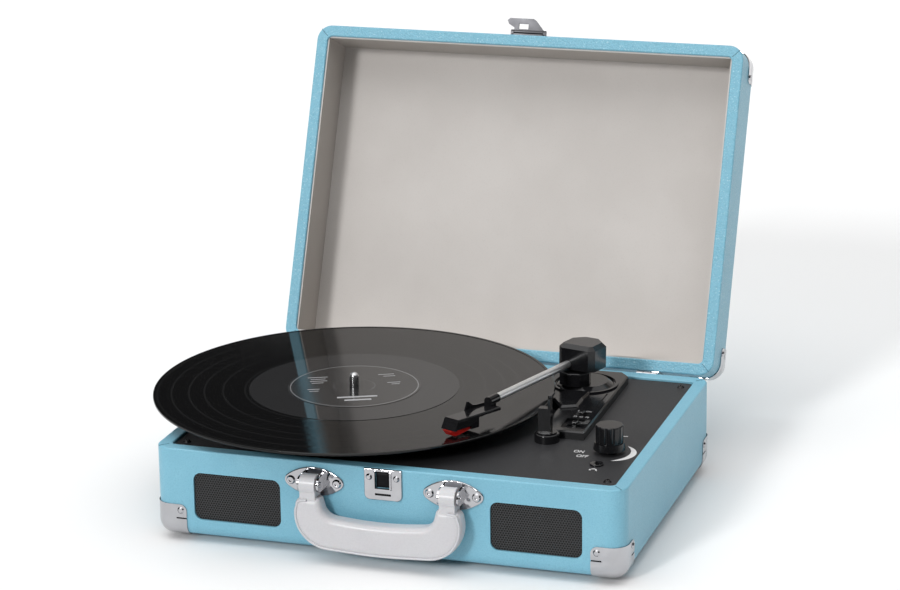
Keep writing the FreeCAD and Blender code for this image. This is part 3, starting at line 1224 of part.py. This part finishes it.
MAKERS = (
    case_shell, bottom_panel, rubber_feet, corner_blocks, deck_plate, speakers, base_corners,
    handle_plates, handle, catch, hasp, hinges, lid, platter, record, drive, drive_belt,
    tonearm_plate, arm_rest, turret, head, headshell, volume_knob, switches, sockets,
    electronics,
)
for maker in MAKERS:
    maker()
doc.recompute()

broken = [item.Name for item in doc.Objects
          if any(word in item.State for word in ("Invalid", "Error"))]
if broken:
    raise RuntimeError(f"objects failed: {broken}")
labels = [piece.Label for piece in pieces]
if len(labels) > MAX_NODES or len(set(labels)) < len(labels):
    raise RuntimeError("too many sub-parts, or two share a name")
for piece in pieces:
    shape = piece.Shape
    if shape.isNull() or not shape.isValid() or not shape.Solids:
        raise RuntimeError(f"{piece.Label} has no valid solid")

os.makedirs("parts", exist_ok=True)
for name in os.listdir("parts"):
    if name.endswith(".step") and name[:-5] not in labels:
        os.remove(os.path.join("parts", name))
for piece in pieces:
    piece.Shape.exportStep(os.path.join("parts", f"{piece.Label}.step"))
print(f"{len(pieces)} sub-parts, {sum(len(piece.Shape.Solids) for piece in pieces)} solids")
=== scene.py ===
import math

import bpy
from mathutils import Matrix, Vector


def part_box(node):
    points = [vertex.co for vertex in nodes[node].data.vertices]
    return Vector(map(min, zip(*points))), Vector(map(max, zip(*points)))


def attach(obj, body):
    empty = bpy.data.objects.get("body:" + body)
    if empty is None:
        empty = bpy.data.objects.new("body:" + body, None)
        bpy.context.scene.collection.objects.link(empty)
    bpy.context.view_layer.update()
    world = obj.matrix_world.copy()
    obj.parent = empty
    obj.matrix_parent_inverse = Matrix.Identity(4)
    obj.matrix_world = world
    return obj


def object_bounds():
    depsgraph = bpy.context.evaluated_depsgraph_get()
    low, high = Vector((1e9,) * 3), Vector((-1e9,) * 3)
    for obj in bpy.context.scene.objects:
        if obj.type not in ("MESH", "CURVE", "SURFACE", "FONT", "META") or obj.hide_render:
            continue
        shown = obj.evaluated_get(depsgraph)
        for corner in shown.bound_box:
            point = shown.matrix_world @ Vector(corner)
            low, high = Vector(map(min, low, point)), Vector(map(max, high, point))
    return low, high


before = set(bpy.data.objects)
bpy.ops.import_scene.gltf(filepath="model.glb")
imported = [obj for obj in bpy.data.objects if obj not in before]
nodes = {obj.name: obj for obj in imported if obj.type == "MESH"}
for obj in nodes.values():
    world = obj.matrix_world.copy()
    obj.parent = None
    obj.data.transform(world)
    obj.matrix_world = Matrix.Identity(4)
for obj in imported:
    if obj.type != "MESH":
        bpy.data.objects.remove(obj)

cad_low, cad_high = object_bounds()

MM = 0.001                                  # metres in a millimetre
LID_OPEN = math.radians(112.7)              # how far the lid stands open at rest
HINGE_AXIS = Vector((0.0, 132.6, 64.1))     # a point on the lid's hinge line, in millimetres
BASE_RIM, LID_RIM, LID_TOP = 67.0, 67.3, 114.4   # levels of the closed case
SLOT_INSET = 14.0                           # from a case face to the corners' slots
BOARD_TOP = 71.34                           # the switch board's printed face
RUN_OUT = 79.0                              # where the record's tracks end

# ---- camera ----------------------------------------------------------------------------------


def make_camera():
    """The photograph's viewpoint: to the right of the case, above it, and about two metres off."""
    yaw, pitch, roll = 0.3151, -0.2910, -0.0154
    forward = Vector((-math.sin(yaw) * math.cos(pitch), math.cos(yaw) * math.cos(pitch),
                      math.sin(pitch)))
    right = Vector((math.cos(yaw), math.sin(yaw), 0.0))
    up = right.cross(forward)
    right, up = (math.cos(roll) * right + math.sin(roll) * up,
                 math.cos(roll) * up - math.sin(roll) * right)
    data = bpy.data.cameras.new("camera")
    data.sensor_width = 36.0
    data.lens = 120.6
    data.clip_end = 50.0
    camera = bpy.data.objects.new("camera", data)
    bpy.context.scene.collection.objects.link(camera)
    turn = Matrix((right, up, -forward)).transposed().to_4x4()
    place = Vector((667.46, -2018.41, 794.04))
    camera.matrix_world = Matrix.Translation(place * MM) @ turn
    bpy.context.scene.camera = camera


make_camera()

# ---- material tools --------------------------------------------------------------------------


class Paint:
    """A material being built: a Principled shader and short calls for the nodes that feed it."""

    def __init__(self, name, **sockets):
        self.material = bpy.data.materials.new(name)
        self.material.use_nodes = True
        self.tree = self.material.node_tree
        self.shader = self.tree.nodes["Principled BSDF"]
        for socket, value in sockets.items():
            self.set(socket.replace("_", " "), value)
        self.coords = self.tree.nodes.new("ShaderNodeTexCoord")

    def set(self, socket, value):
        self.shader.inputs[socket].default_value = (*value, 1.0) if isinstance(
            value, tuple) else value

    def node(self, kind, inputs=None, **settings):
        node = self.tree.nodes.new(kind)
        for key, value in settings.items():
            setattr(node, key, value)
        for key, value in (inputs or {}).items():
            if isinstance(value, bpy.types.NodeSocket):
                self.tree.links.new(value, node.inputs[key])
            else:
                node.inputs[key].default_value = value
        return node

    def math(self, operation, a, b=0.0, c=0.0):
        return self.node("ShaderNodeMath", {0: a, 1: b, 2: c}, operation=operation).outputs[0]

    def vector(self, operation, a, b=(0.0, 0.0, 0.0)):
        return self.node("ShaderNodeVectorMath", {0: a, 1: b}, operation=operation).outputs

    def noise(self, scale, detail=2.0, rough=0.5, where=None):
        return self.node("ShaderNodeTexNoise", {
            "Vector": where or self.coords.outputs["Object"], "Scale": scale,
            "Detail": detail, "Roughness": rough}).outputs["Fac"]

    def cells(self, scale, feature="SMOOTH_F1", where=None):
        return self.node("ShaderNodeTexVoronoi", {
            "Vector": where or self.coords.outputs["Object"], "Scale": scale},
            feature=feature).outputs["Distance"]

    def spread(self, value, low, high, to_low, to_high):
        return self.node("ShaderNodeMapRange", {
            "Value": value, "From Min": low, "From Max": high, "To Min": to_low,
            "To Max": to_high}).outputs["Result"]

    def mix(self, amount, one, two):
        node = self.node("ShaderNodeMix", data_type="RGBA")
        for index, value in ((0, amount), (6, one), (7, two)):
            if isinstance(value, bpy.types.NodeSocket):
                self.tree.links.new(value, node.inputs[index])
            else:
                node.inputs[index].default_value = (*value, 1.0) if isinstance(
                    value, tuple) else value
        return node.outputs[2]

    def feed(self, socket, value):
        self.tree.links.new(value, self.shader.inputs[socket])

    def bump(self, height, strength, depth):
        node = self.node("ShaderNodeBump", {"Height": height, "Strength": strength,
                                            "Distance": depth * MM})
        self.feed("Normal", node.outputs["Normal"])

    def off_centre(self, centre):
        """Distance from an upright axis."""
        moved = self.vector("SUBTRACT", self.coords.outputs["Object"],
                            (centre[0] * MM, centre[1] * MM, 0.0))[0]
        flat = self.vector("MULTIPLY", moved, (1.0, 1.0, 0.0))[0]
        return self.vector("LENGTH", flat)[1]


# ---- materials -------------------------------------------------------------------------------


def leatherette(name, scale, relief, glint):
    """Pebbled leatherette: rounded grains with fine creases between, painted shade in the creases,
    and pale flecks of painted glint.
    """
    p = Paint(name, Specular_IOR_Level=0.5)
    grains = p.cells(scale)
    fine = p.noise(2600.0, 3.0)
    broad = p.noise(30.0, 2.0)
    height = p.math("ADD", p.math("MULTIPLY", grains, 0.8), p.math("MULTIPLY", fine, 0.35))
    p.bump(height, 0.6, relief)
    base = p.mix(p.spread(broad, 0.3, 0.7, 0.0, 1.0), (0.190, 0.455, 0.585),
                 (0.212, 0.485, 0.612))
    # Painted shade: the colour darkens between the grains, where shade falls in the creases.
    crease_shaded = p.mix(p.spread(grains, 0.35, 0.75, 0.0, 0.45), base, (0.135, 0.360, 0.485))
    # Painted highlights: pale flecks in the colour stand in for glints off the grains.
    painted_glints = p.spread(p.noise(scale * 1.1, 1.0), 0.60, 0.74, 0.0, glint)
    p.feed("Base Color", p.mix(painted_glints, crease_shaded, (0.420, 0.650, 0.740)))
    p.feed("Roughness", p.spread(fine, 0.3, 0.7, 0.30, 0.48))
    return p.material


def lid_liner():
    """Smooth laid paper: the panel is pale, and the four walls carry painted shade."""
    p = Paint("lid_liner", Specular_IOR_Level=0.25)
    fibre = p.noise(900.0, 4.0, 0.65)
    cloud = p.noise(14.0, 3.0)
    pale = p.mix(p.spread(cloud, 0.35, 0.65, 0.0, 1.0), (0.560, 0.530, 0.505),
                 (0.600, 0.570, 0.545))
    speck = p.mix(p.spread(fibre, 0.55, 0.8, 0.0, 0.35), pale, (0.440, 0.410, 0.385))
    facing = p.node("ShaderNodeVectorMath", {
        0: p.coords.outputs["Normal"],
        1: (0.0, -math.sin(LID_OPEN), -math.cos(LID_OPEN))},
        operation="DOT_PRODUCT").outputs["Value"]
    # Painted shade: the walls, which turn away from the open panel's facing, are coloured darker.
    painted_wall_shade = p.spread(p.math("ABSOLUTE", facing), 0.6, 0.9, 0.55, 0.0)
    p.feed("Base Color", p.mix(painted_wall_shade, speck, (0.330, 0.300, 0.270)))
    p.feed("Roughness", p.spread(fibre, 0.3, 0.7, 0.62, 0.82))
    p.bump(fibre, 0.2, 0.12)
    return p.material


def grained(name, dark, light, rough, scale=700.0, strength=0.15, depth=0.05, **sockets):
    """A surface whose colour, gloss and grain vary a little, at the scale given."""
    p = Paint(name, **sockets)
    grain = p.noise(scale, 3.0)
    cloud = p.noise(scale * 0.05, 2.0)
    tone = p.math("ADD", p.math("MULTIPLY", grain, 0.6), p.math("MULTIPLY", cloud, 0.4))
    p.feed("Base Color", p.mix(p.spread(tone, 0.35, 0.65, 0.0, 1.0), dark, light))
    p.feed("Roughness", p.spread(cloud, 0.3, 0.7, rough[0], rough[1]))
    p.bump(grain, strength, depth)
    return p.material


def deck_black():
    """Textured black moulding: a fine matt grain with pale dust-sized specks."""
    p = Paint("deck_black", Specular_IOR_Level=0.4)
    grain = p.noise(1500.0, 3.0, 0.6)
    speck = p.spread(p.cells(700.0, "F1"), 0.10, 0.16, 0.35, 0.0)
    tone = p.mix(p.spread(grain, 0.35, 0.7, 0.0, 1.0), (0.016, 0.016, 0.018),
                 (0.030, 0.030, 0.032))
    p.feed("Base Color", p.mix(speck, tone, (0.085, 0.085, 0.090)))
    p.feed("Roughness", p.spread(grain, 0.3, 0.7, 0.46, 0.62))
    p.bump(grain, 0.4, 0.12)
    return p.material


def polished(name, colour, rough, wear, wave=0.0):
    """Plated or polished metal with a faint haze, hairline marks and a slightly wavy face."""
    p = Paint(name, Metallic=1.0)
    haze = p.noise(60.0, 4.0)
    stretched = p.vector("MULTIPLY", p.coords.outputs["Object"], (1.0, 1.0, 12.0))[0]
    hair = p.noise(420.0, 2.0, where=stretched)
    p.feed("Base Color", p.mix(p.spread(haze, 0.3, 0.7, 0.0, 1.0), colour,
                               tuple(0.88 * c for c in colour)))
    p.feed("Roughness", p.spread(haze, 0.3, 0.7, rough, rough + wear))
    broad = p.math("MULTIPLY", p.noise(95.0, 1.0), wave)
    p.bump(p.math("ADD", p.math("MULTIPLY", hair, 0.004), broad), 1.0, 1.0)
    return p.material


def grille():
    """Black metal pressed with staggered rows of round holes, with painted shade in the holes."""
    p = Paint("grille", Specular_IOR_Level=0.5)
    pitch = 1.95 * MM
    at = p.node("ShaderNodeSeparateXYZ", {0: p.coords.outputs["Object"]}).outputs
    near = None
    for shift in (0.0, 0.5):
        across = p.math("SUBTRACT", p.math("FRACT", p.math("ADD", p.math(
            "DIVIDE", at["X"], pitch), 100.0 + shift)), 0.5)
        high = p.math("SUBTRACT", p.math("FRACT", p.math("ADD", p.math(
            "DIVIDE", at["Z"], pitch * 1.7321), 100.0 + shift)), 0.5)
        high = p.math("MULTIPLY", high, 1.7321)
        far = p.math("SQRT", p.math("ADD", p.math("MULTIPLY", across, across),
                                    p.math("MULTIPLY", high, high)))
        near = far if near is None else p.math("MINIMUM", near, far)
    metal = p.spread(near, 0.33, 0.40, 0.0, 1.0)
    # Painted shade: the holes are coloured near black for the dark space seen through them.
    p.feed("Base Color", p.mix(metal, (0.002, 0.002, 0.002), (0.030, 0.030, 0.032)))
    p.feed("Roughness", p.spread(metal, 0.0, 1.0, 0.9, 0.32))
    p.bump(metal, 0.8, 0.5)
    return p.material


def vinyl(centre):
    """Pressed vinyl: tracks of fine grooves, smooth gaps, and a smooth run-out band; the smooth
    bands carry a painted sheen.
    """
    p = Paint("vinyl", Specular_IOR_Level=0.30, IOR=1.5)
    reach = p.off_centre(centre)
    millimetres = p.math("MULTIPLY", reach, 1000.0)
    grooves = p.math("SINE", p.math("MULTIPLY", millimetres, 2.0 * math.pi / 0.62))
    band = p.noise(0.9, 2.0, where=p.node("ShaderNodeCombineXYZ", {
        "X": p.math("MULTIPLY", millimetres, 0.9)}).outputs[0])
    gaps = None
    for radius in (82.0, 98.5, 112.5, 124.0, 137.0, 147.6):
        gap = p.spread(p.math("ABSOLUTE", p.math("SUBTRACT", millimetres, radius)), 0.5, 0.9,
                       1.0, 0.0)
        gaps = gap if gaps is None else p.math("MAXIMUM", gaps, gap)
    run_out = p.spread(millimetres, RUN_OUT - 0.4, RUN_OUT + 0.4, 1.0, 0.0)
    smooth = p.math("MAXIMUM", gaps, run_out)
    cut = p.math("SUBTRACT", 1.0, smooth)
    height = p.math("MULTIPLY", p.math("ADD", p.math("MULTIPLY", grooves, 0.5), band), cut)
    p.bump(height, 0.25, 0.020)
    # Painted sheen: the smooth gaps and the run-out band are coloured lighter than the grooved
    # tracks, standing in for their stronger reflection.
    painted_gap_sheen = p.mix(gaps, (0.0035, 0.0035, 0.0038), (0.012, 0.012, 0.0125))
    p.feed("Base Color", p.mix(run_out, painted_gap_sheen, (0.024, 0.024, 0.025)))
    p.feed("Roughness", p.math("ADD", p.spread(smooth, 0.0, 1.0, 0.05, 0.03),
                               p.math("MULTIPLY", band, 0.04)))
    return p.material


def label(centre):
    """Dark printed paper with a pale ring near its edge."""
    p = Paint("label", Specular_IOR_Level=0.5)
    reach = p.off_centre(centre)
    millimetres = p.math("MULTIPLY", reach, 1000.0)
    fibre = p.noise(1400.0, 4.0)
    ring = p.spread(p.math("ABSOLUTE", p.math("SUBTRACT", millimetres, 48.0)), 0.3, 0.5,
                    0.42, 0.0)
    hole_ring = p.spread(p.math("ABSOLUTE", p.math("SUBTRACT", millimetres, 15.5)), 0.3, 0.5,
                         0.12, 0.0)
    paper = p.mix(p.spread(fibre, 0.3, 0.7, 0.0, 1.0), (0.014, 0.014, 0.015),
                  (0.021, 0.021, 0.022))
    ringed = p.mix(p.math("MAXIMUM", ring, hole_ring), paper, (0.42, 0.42, 0.43))
    p.feed("Base Color", ringed)
    p.feed("Roughness", p.spread(fibre, 0.3, 0.7, 0.12, 0.20))
    p.bump(fibre, 0.06, 0.03)
    return p.material


def middle(node):
    """The middle of a node's box, in millimetres."""
    low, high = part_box(node)
    return (low + high) / 2 / MM


disc = middle("spindle")
chrome = polished("chrome", (0.50, 0.50, 0.52), 0.04, 0.06, 1.5)
steel = polished("steel", (0.56, 0.56, 0.57), 0.2, 0.12)
black_gloss = grained("black_gloss", (0.006, 0.006, 0.007), (0.010, 0.010, 0.011),
                      (0.09, 0.17), 900.0, 0.06, 0.03, Specular_IOR_Level=0.42)
black_satin = grained("black_satin", (0.014, 0.014, 0.015), (0.022, 0.022, 0.024),
                      (0.30, 0.42), 1100.0, 0.12, 0.05)
LOOKS = {
    "leatherette": leatherette("leatherette", 1250.0, 0.35, 0.15),
    "lid_liner": lid_liner(),
    "board": grained("board", (0.42, 0.31, 0.19), (0.56, 0.43, 0.28), (0.7, 0.85), 260.0, 0.4,
                     0.2),
    "deck_black": deck_black(),
    "black_gloss": black_gloss,
    "chrome": chrome,
    "grille_black": grille(),
    "speaker_steel": polished("speaker_steel", (0.25, 0.25, 0.26), 0.35, 0.1),
    "speaker_paper": grained("speaker_paper", (0.03, 0.03, 0.03), (0.07, 0.07, 0.07),
                             (0.7, 0.85), 300.0, 0.4, 0.2),
    "ferrite": grained("ferrite", (0.05, 0.05, 0.05), (0.08, 0.08, 0.08), (0.6, 0.7), 400.0),
    "white_plastic": grained("white_plastic", (0.545, 0.540, 0.560), (0.585, 0.580, 0.600),
                             (0.30, 0.38), 800.0, 0.08, 0.05, Subsurface_Weight=0.04),
    "rubber_black": grained("rubber_black", (0.02, 0.02, 0.02), (0.035, 0.035, 0.035),
                            (0.7, 0.85), 900.0, 0.3, 0.1),
    "bronze": polished("bronze", (0.65, 0.48, 0.25), 0.25, 0.1),
    "steel": steel,
    "tube_silver": polished("tube_silver", (0.86, 0.86, 0.86), 0.36, 0.08),
    "vinyl": vinyl(disc),
    "label_paper": label(disc),
    "stylus_red": grained("stylus_red", (0.55, 0.012, 0.010), (0.68, 0.022, 0.016),
                          (0.18, 0.28), 600.0, 0.08, 0.04, Subsurface_Weight=0.1,
                          Coat_Weight=0.3),
    "circuit_green": grained("circuit_green", (0.02, 0.16, 0.06), (0.03, 0.22, 0.09),
                             (0.3, 0.4), 500.0),
    "platter_black": black_satin,
}

# The lid's covering: coarser, deeper grain and much stronger painted glints.
lid_leatherette = leatherette("lid_leatherette", 820.0, 1.0, 0.8)

# Painted shade: a darker copy of the chrome for the hasp, standing in for the dark surroundings
# its plating reflects.
shaded_hasp_chrome = polished("shaded_hasp_chrome", (0.075, 0.075, 0.080), 0.30, 0.12)

for name, item in nodes.items():
    for slot in item.material_slots:
        key = slot.material.name.split(".")[0]
        lid_cover = key == "leatherette" and name.startswith("lid")
        slot.material = lid_leatherette if lid_cover else LOOKS[key]
        if name.startswith("hasp"):
            slot.material = shaded_hasp_chrome

# ---- pieces added to the CAD -------------------------------------------------------------------


def dressed(name, points, faces, look, body):
    """A mesh piece, in millimetres, that rides on a body."""
    mesh = bpy.data.meshes.new(name)
    mesh.from_pydata([Vector(p) * MM for p in points], [], faces)
    mesh.materials.append(look)
    item = bpy.data.objects.new(name, mesh)
    bpy.context.scene.collection.objects.link(item)
    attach(item, body)
    return item


def strip(name, inner, outer, look, body):
    """A flat ribbon between two rows of points."""
    count = len(inner)
    faces = [(i, i + 1, i + 1 + count, i + count) for i in range(count - 1)]
    return dressed(name, list(inner) + list(outer), faces, look, body)


def wire(name, runs, radius, look, body):
    """Thin round wires or beads, each through the points of one run."""
    curve = bpy.data.curves.new(name, "CURVE")
    curve.dimensions = "3D"
    curve.bevel_depth = radius * MM
    curve.bevel_resolution = 3
    for run in runs:
        spline = curve.splines.new("NURBS")
        spline.points.add(len(run) - 1)
        for point, place in zip(spline.points, run):
            point.co = (*(Vector(place) * MM), 1.0)
        spline.order_u = 3
        spline.use_endpoint_u = True
    curve.materials.append(look)
    item = bpy.data.objects.new(name, curve)
    bpy.context.scene.collection.objects.link(item)
    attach(item, body)
    return item


def lettering(name, text, centre, size, body, ink):
    """Printed marks that lie on an upward face."""
    font = bpy.data.curves.new(name, "FONT")
    font.body = text
    font.size = size * MM
    font.align_x = "CENTER"
    font.align_y = "CENTER"
    font.extrude = 0.02 * MM
    font.offset = 0.04 * MM
    font.materials.append(ink)
    item = bpy.data.objects.new(name, font)
    bpy.context.scene.collection.objects.link(item)
    item.location = Vector(centre) * MM
    item.scale = (0.8, 1.15, 1.0)
    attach(item, body)
    return item


def around(centre, radius, degrees, height):
    """A point at a radius and a bearing round an upright axis."""
    angle = math.radians(degrees)
    return (centre[0] + radius * math.cos(angle), centre[1] + radius * math.sin(angle), height)


print_white = grained("print_white", (0.62, 0.62, 0.62), (0.80, 0.80, 0.80), (0.5, 0.6), 3000.0)
print_grey = grained("print_grey", (0.30, 0.30, 0.31), (0.44, 0.44, 0.45), (0.5, 0.6), 2500.0)
# Near black, used for the painted shade in the slots and for the catch's spring plate.
recess_black = grained("recess_black", (0.003, 0.003, 0.004), (0.006, 0.006, 0.007),
                       (0.35, 0.5), 900.0, Specular_IOR_Level=0.1)


def deck_marks():
    """Printed switch positions, the volume wedge and its mark, and the headphone sign."""
    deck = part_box("deck_plate")[1].z / MM + 0.04
    knob = middle("volume_knob")
    lettering("mark_on", "ON", (122.2, -52.6, deck), 6.2, "base", print_white)
    lettering("mark_off", "OFF", (126.9, -61.6, deck), 6.2, "base", print_white)
    inner, outer = [], []
    for i in range(25):
        share = i / 24
        wide = 0.35 + 4.2 * math.sin(math.pi * share) ** 0.8
        angle = -72.0 + 130.0 * share
        inner.append(around(knob, 18.4 - wide * 0.75, angle, deck))
        outer.append(around(knob, 18.4 + wide * 0.25, angle, deck))
    strip("volume_wedge", inner, outer, print_white, "base")
    strip("volume_mark", [(144.4, -12.9, deck), (147.8, -12.2, deck)],
          [(144.4, -11.9, deck), (147.8, -11.2, deck)], print_white, "base")
    centre, reach, raised = (142.1, -87.6), 2.3, deck + 0.1
    band = [around(centre, reach, a, raised) for a in range(0, 181, 20)]
    cups = [[(centre[0] + side * reach, y, raised) for y in (centre[1], -90.0)]
            for side in (-1, 1)]
    wire("headphone_sign_band", [band], 0.28, print_white, "base")
    wire("headphone_sign_cups", cups, 0.6, print_white, "base")
    lettering("mark_speeds", "33  45  78", (108.2, 3.6, BOARD_TOP), 3.6, "base", print_grey)
    lettering("mark_stop", "OFF  ON", (107.5, 16.4, BOARD_TOP), 3.4, "base", print_grey)


def label_marks():
    """Plain bars where a label has its print, with no words."""
    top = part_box("record_label")[1].z / MM + 0.03
    bars = [(-26.0, 24.0, 15.0), (-26.0, 19.5, 11.0), (-26.0, 15.0, 13.0), (-27.0, 10.5, 9.0),
            (26.0, 24.0, 12.0), (28.0, 19.5, 9.0), (30.0, 4.0, 10.0), (31.0, 0.0, 6.0),
            (-31.0, -4.0, 9.0), (-31.0, -8.5, 7.0), (0.0, -26.0, 30.0), (0.0, -33.0, 20.0)]
    points, faces = [], []
    turn = math.radians(24.0)
    for across, along, half in bars:
        tall = 1.6 if along < -20.0 else 0.55
        start = len(points)
        for dx, dy in ((-half / 2, -tall), (half / 2, -tall), (half / 2, tall),
                       (-half / 2, tall)):
            x, y = across + dx, along + dy
            points.append((disc.x + x * math.cos(turn) - y * math.sin(turn),
                           disc.y + x * math.sin(turn) + y * math.cos(turn), top))
        faces.append(tuple(range(start, start + 4)))
    dressed("label_bars", points, faces, print_grey, "platter")


def catch_parts():
    """The dark spring plate at the bottom of the catch's pressed surround."""
    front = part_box("catch_plate")[1].y / MM - 0.12
    left, right, bottom, top = -5.3, 5.3, 52.8, 64.8
    points, faces = [], []
    for depth, inset in ((front, 0.0), (front - 0.9, 0.9), (front - 1.3, 2.0)):
        points += [(left + inset, depth, bottom + inset), (right - inset, depth, bottom + inset),
                   (right - inset, depth, top - inset), (left + inset, depth, top - inset)]
    for ring in (0, 4):
        for i in range(4):
            j = (i + 1) % 4
            faces.append((ring + i, ring + j, ring + 4 + j, ring + 4 + i))
    faces.append((8, 9, 10, 11))
    dressed("catch_spring_plate", points, faces, recess_black, "base")


def painted_slot_shade():
    """Dark sheets of painted shade behind the slots of the catch plate and of the pressed corners.
    """
    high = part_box("base_corner_protectors")[1] / MM
    wide, deep = high.x - 0.65, high.y - 0.65
    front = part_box("catch_plate")[1].y / MM - 0.12
    points = {"base": [(x, front, z) for x, z in ((-6.5, 46.6), (6.5, 46.6), (6.5, 49.0),
                                                  (-6.5, 49.0))], "lid": []}
    for body, level, place in (("base", SLOT_INSET, tuple),
                               ("lid", LID_TOP - SLOT_INSET, opened)):
        for a in (-1, 1):
            for b in (-1, 1):
                for x0, y0, x1, y1 in ((wide - 16.0, deep, wide - 24.4, deep),
                                       (wide, deep - 16.0, wide, deep - 24.4)):
                    points[body] += [place((a * x0, b * y0, level - 1.0)),
                                     place((a * x1, b * y1, level - 1.0)),
                                     place((a * x1, b * y1, level + 1.0)),
                                     place((a * x0, b * y0, level + 1.0))]
    for body, corners in points.items():
        faces = [tuple(range(i, i + 4)) for i in range(0, len(corners), 4)]
        dressed(f"{body}_painted_slot_shade", corners, faces, recess_black, body)


def handle_lip():
    """The raised bead moulded along the outer edge of the handle's front."""
    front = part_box("carry_handle")[0].y / MM + 1.0
    inset, radius = 1.5, 26.0
    start, corner, end = Vector((61.0, 45.0)), Vector((67.0, 8.5)), Vector((0.0, 5.0))
    one, two = (start - corner).normalized(), (end - corner).normalized()
    half = one.angle(two) / 2
    centre = corner + (one + two).normalized() * radius / math.sin(half)
    reach = radius / math.tan(half)
    first, last = corner + one * reach - centre, corner + two * reach - centre
    sweep = [first.slerp(last, i / 10).normalized() * (radius - inset) + centre
             for i in range(11)]
    side = [(52.5, 43.6), (56.5, 43.6), (59.4, 42.4), (60.0, 38.5)]
    side += [tuple(point) for point in sweep]
    outline = side + [(0.0, 5.0 + inset)] + [(-x, z) for x, z in reversed(side)]
    wire("handle_lip", [[(x, front, z) for x, z in outline]], 0.9, LOOKS["white_plastic"],
         "handle")


def arm_wires():
    """Four fine leads from the back of the cartridge up into the tube's collar."""
    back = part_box("cartridge")[1] / MM - Vector((5.0, 2.0, 3.0))
    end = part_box("tonearm_tube")[0] / MM + Vector((3.0, 2.0, 1.0))
    runs = []
    for side in (-1.2, -0.4, 0.4, 1.2):
        sag = Vector((side * 1.6, 0.0, -2.6))
        runs.append([back + Vector((side * 1.5, 0.0, 0.0)), (back + end) / 2 + sag,
                     end + Vector((side * 0.5, 0.0, 0.0))])
    wire("cartridge_leads", runs, 0.28, black_gloss, "arm")


def opened(point):
    """Where a point of the closed lid goes when the lid stands open."""
    turn = Matrix.Rotation(-LID_OPEN, 3, "X")
    return tuple(turn @ (Vector(point) - HINGE_AXIS) + HINGE_AXIS)


def corner_folds():
    """The mitred creases where the covering is folded round the rims' corners."""
    crease = grained("crease_blue", (0.060, 0.170, 0.235), (0.095, 0.235, 0.310), (0.5, 0.65),
                     1500.0)
    for body, level, place in (("base", BASE_RIM, tuple), ("lid", LID_RIM, opened)):
        runs = []
        for a in (-1, 1):
            for b in (-1, 1):
                runs.append([place((a * 172.6, b * 125.8, level)),
                             place((a * 169.8, b * 122.4, level)),
                             place((a * 167.0, b * 120.2, level))])
        wire(f"{body}_corner_folds", runs, 0.28, crease, body)


deck_marks()
label_marks()
corner_folds()
catch_parts()
painted_slot_shade()
handle_lip()
arm_wires()

# ---- floor and light -------------------------------------------------------------------------


def studio():
    """A pale floor that curves up behind, a low key light, and an overhead glow."""
    p = Paint("floor", Specular_IOR_Level=0.2)
    p.feed("Base Color", p.mix(p.noise(3.0), (0.90, 0.90, 0.90), (0.93, 0.93, 0.93)))
    p.feed("Roughness", p.spread(p.noise(8.0), 0.3, 0.7, 0.65, 0.8))
    floor_level = cad_low.z
    profile = [(-5.0, 0.0), (2.4, 0.0), (3.0, 0.10), (3.4, 0.32), (3.65, 0.65), (3.75, 1.1)]
    points = [(x, y, floor_level + z) for x in (-5.0, 5.0) for y, z in profile]
    count = len(profile)
    faces = [(i, i + count, i + count + 1, i + 1) for i in range(count - 1)]
    mesh = bpy.data.meshes.new("floor")
    mesh.from_pydata(points, [], faces)
    mesh.materials.append(p.material)
    floor = bpy.data.objects.new("floor", mesh)
    bpy.context.scene.collection.objects.link(floor)
    for face in mesh.polygons:
        face.use_smooth = True

    world = bpy.data.worlds.new("surround")
    bpy.context.scene.world = world
    world.use_nodes = True
    tree = world.node_tree
    background = tree.nodes["Background"]
    direction = tree.nodes.new("ShaderNodeTexCoord")
    split = tree.nodes.new("ShaderNodeSeparateXYZ")
    ramp = tree.nodes.new("ShaderNodeMapRange")
    for socket, value in (("From Min", 0.42), ("From Max", 0.80), ("To Min", 0.02),
                          ("To Max", 1.22)):
        ramp.inputs[socket].default_value = value
    tree.links.new(direction.outputs["Generated"], split.inputs[0])
    tree.links.new(split.outputs["Z"], ramp.inputs["Value"])
    tree.links.new(ramp.outputs["Result"], background.inputs["Strength"])
    background.inputs["Color"].default_value = (1.0, 1.0, 1.0, 1.0)
    lamps = (
        ("key", (-0.28, -0.86, 0.42), 1.38, 10.0),
        ("overhead", (-0.12, -0.22, 0.96), 0.55, 50.0),
    )
    for name, source, power, width in lamps:
        data = bpy.data.lights.new(name, "SUN")
        data.energy = power
        data.angle = math.radians(width)
        lamp = bpy.data.objects.new(name, data)
        bpy.context.scene.collection.objects.link(lamp)
        lamp.location = Vector(source) * 3.0
        lamp.rotation_euler = (-Vector(source)).to_track_quat("-Z", "Y").to_euler()
    bpy.context.scene.view_settings.view_transform = "Standard"


studio()
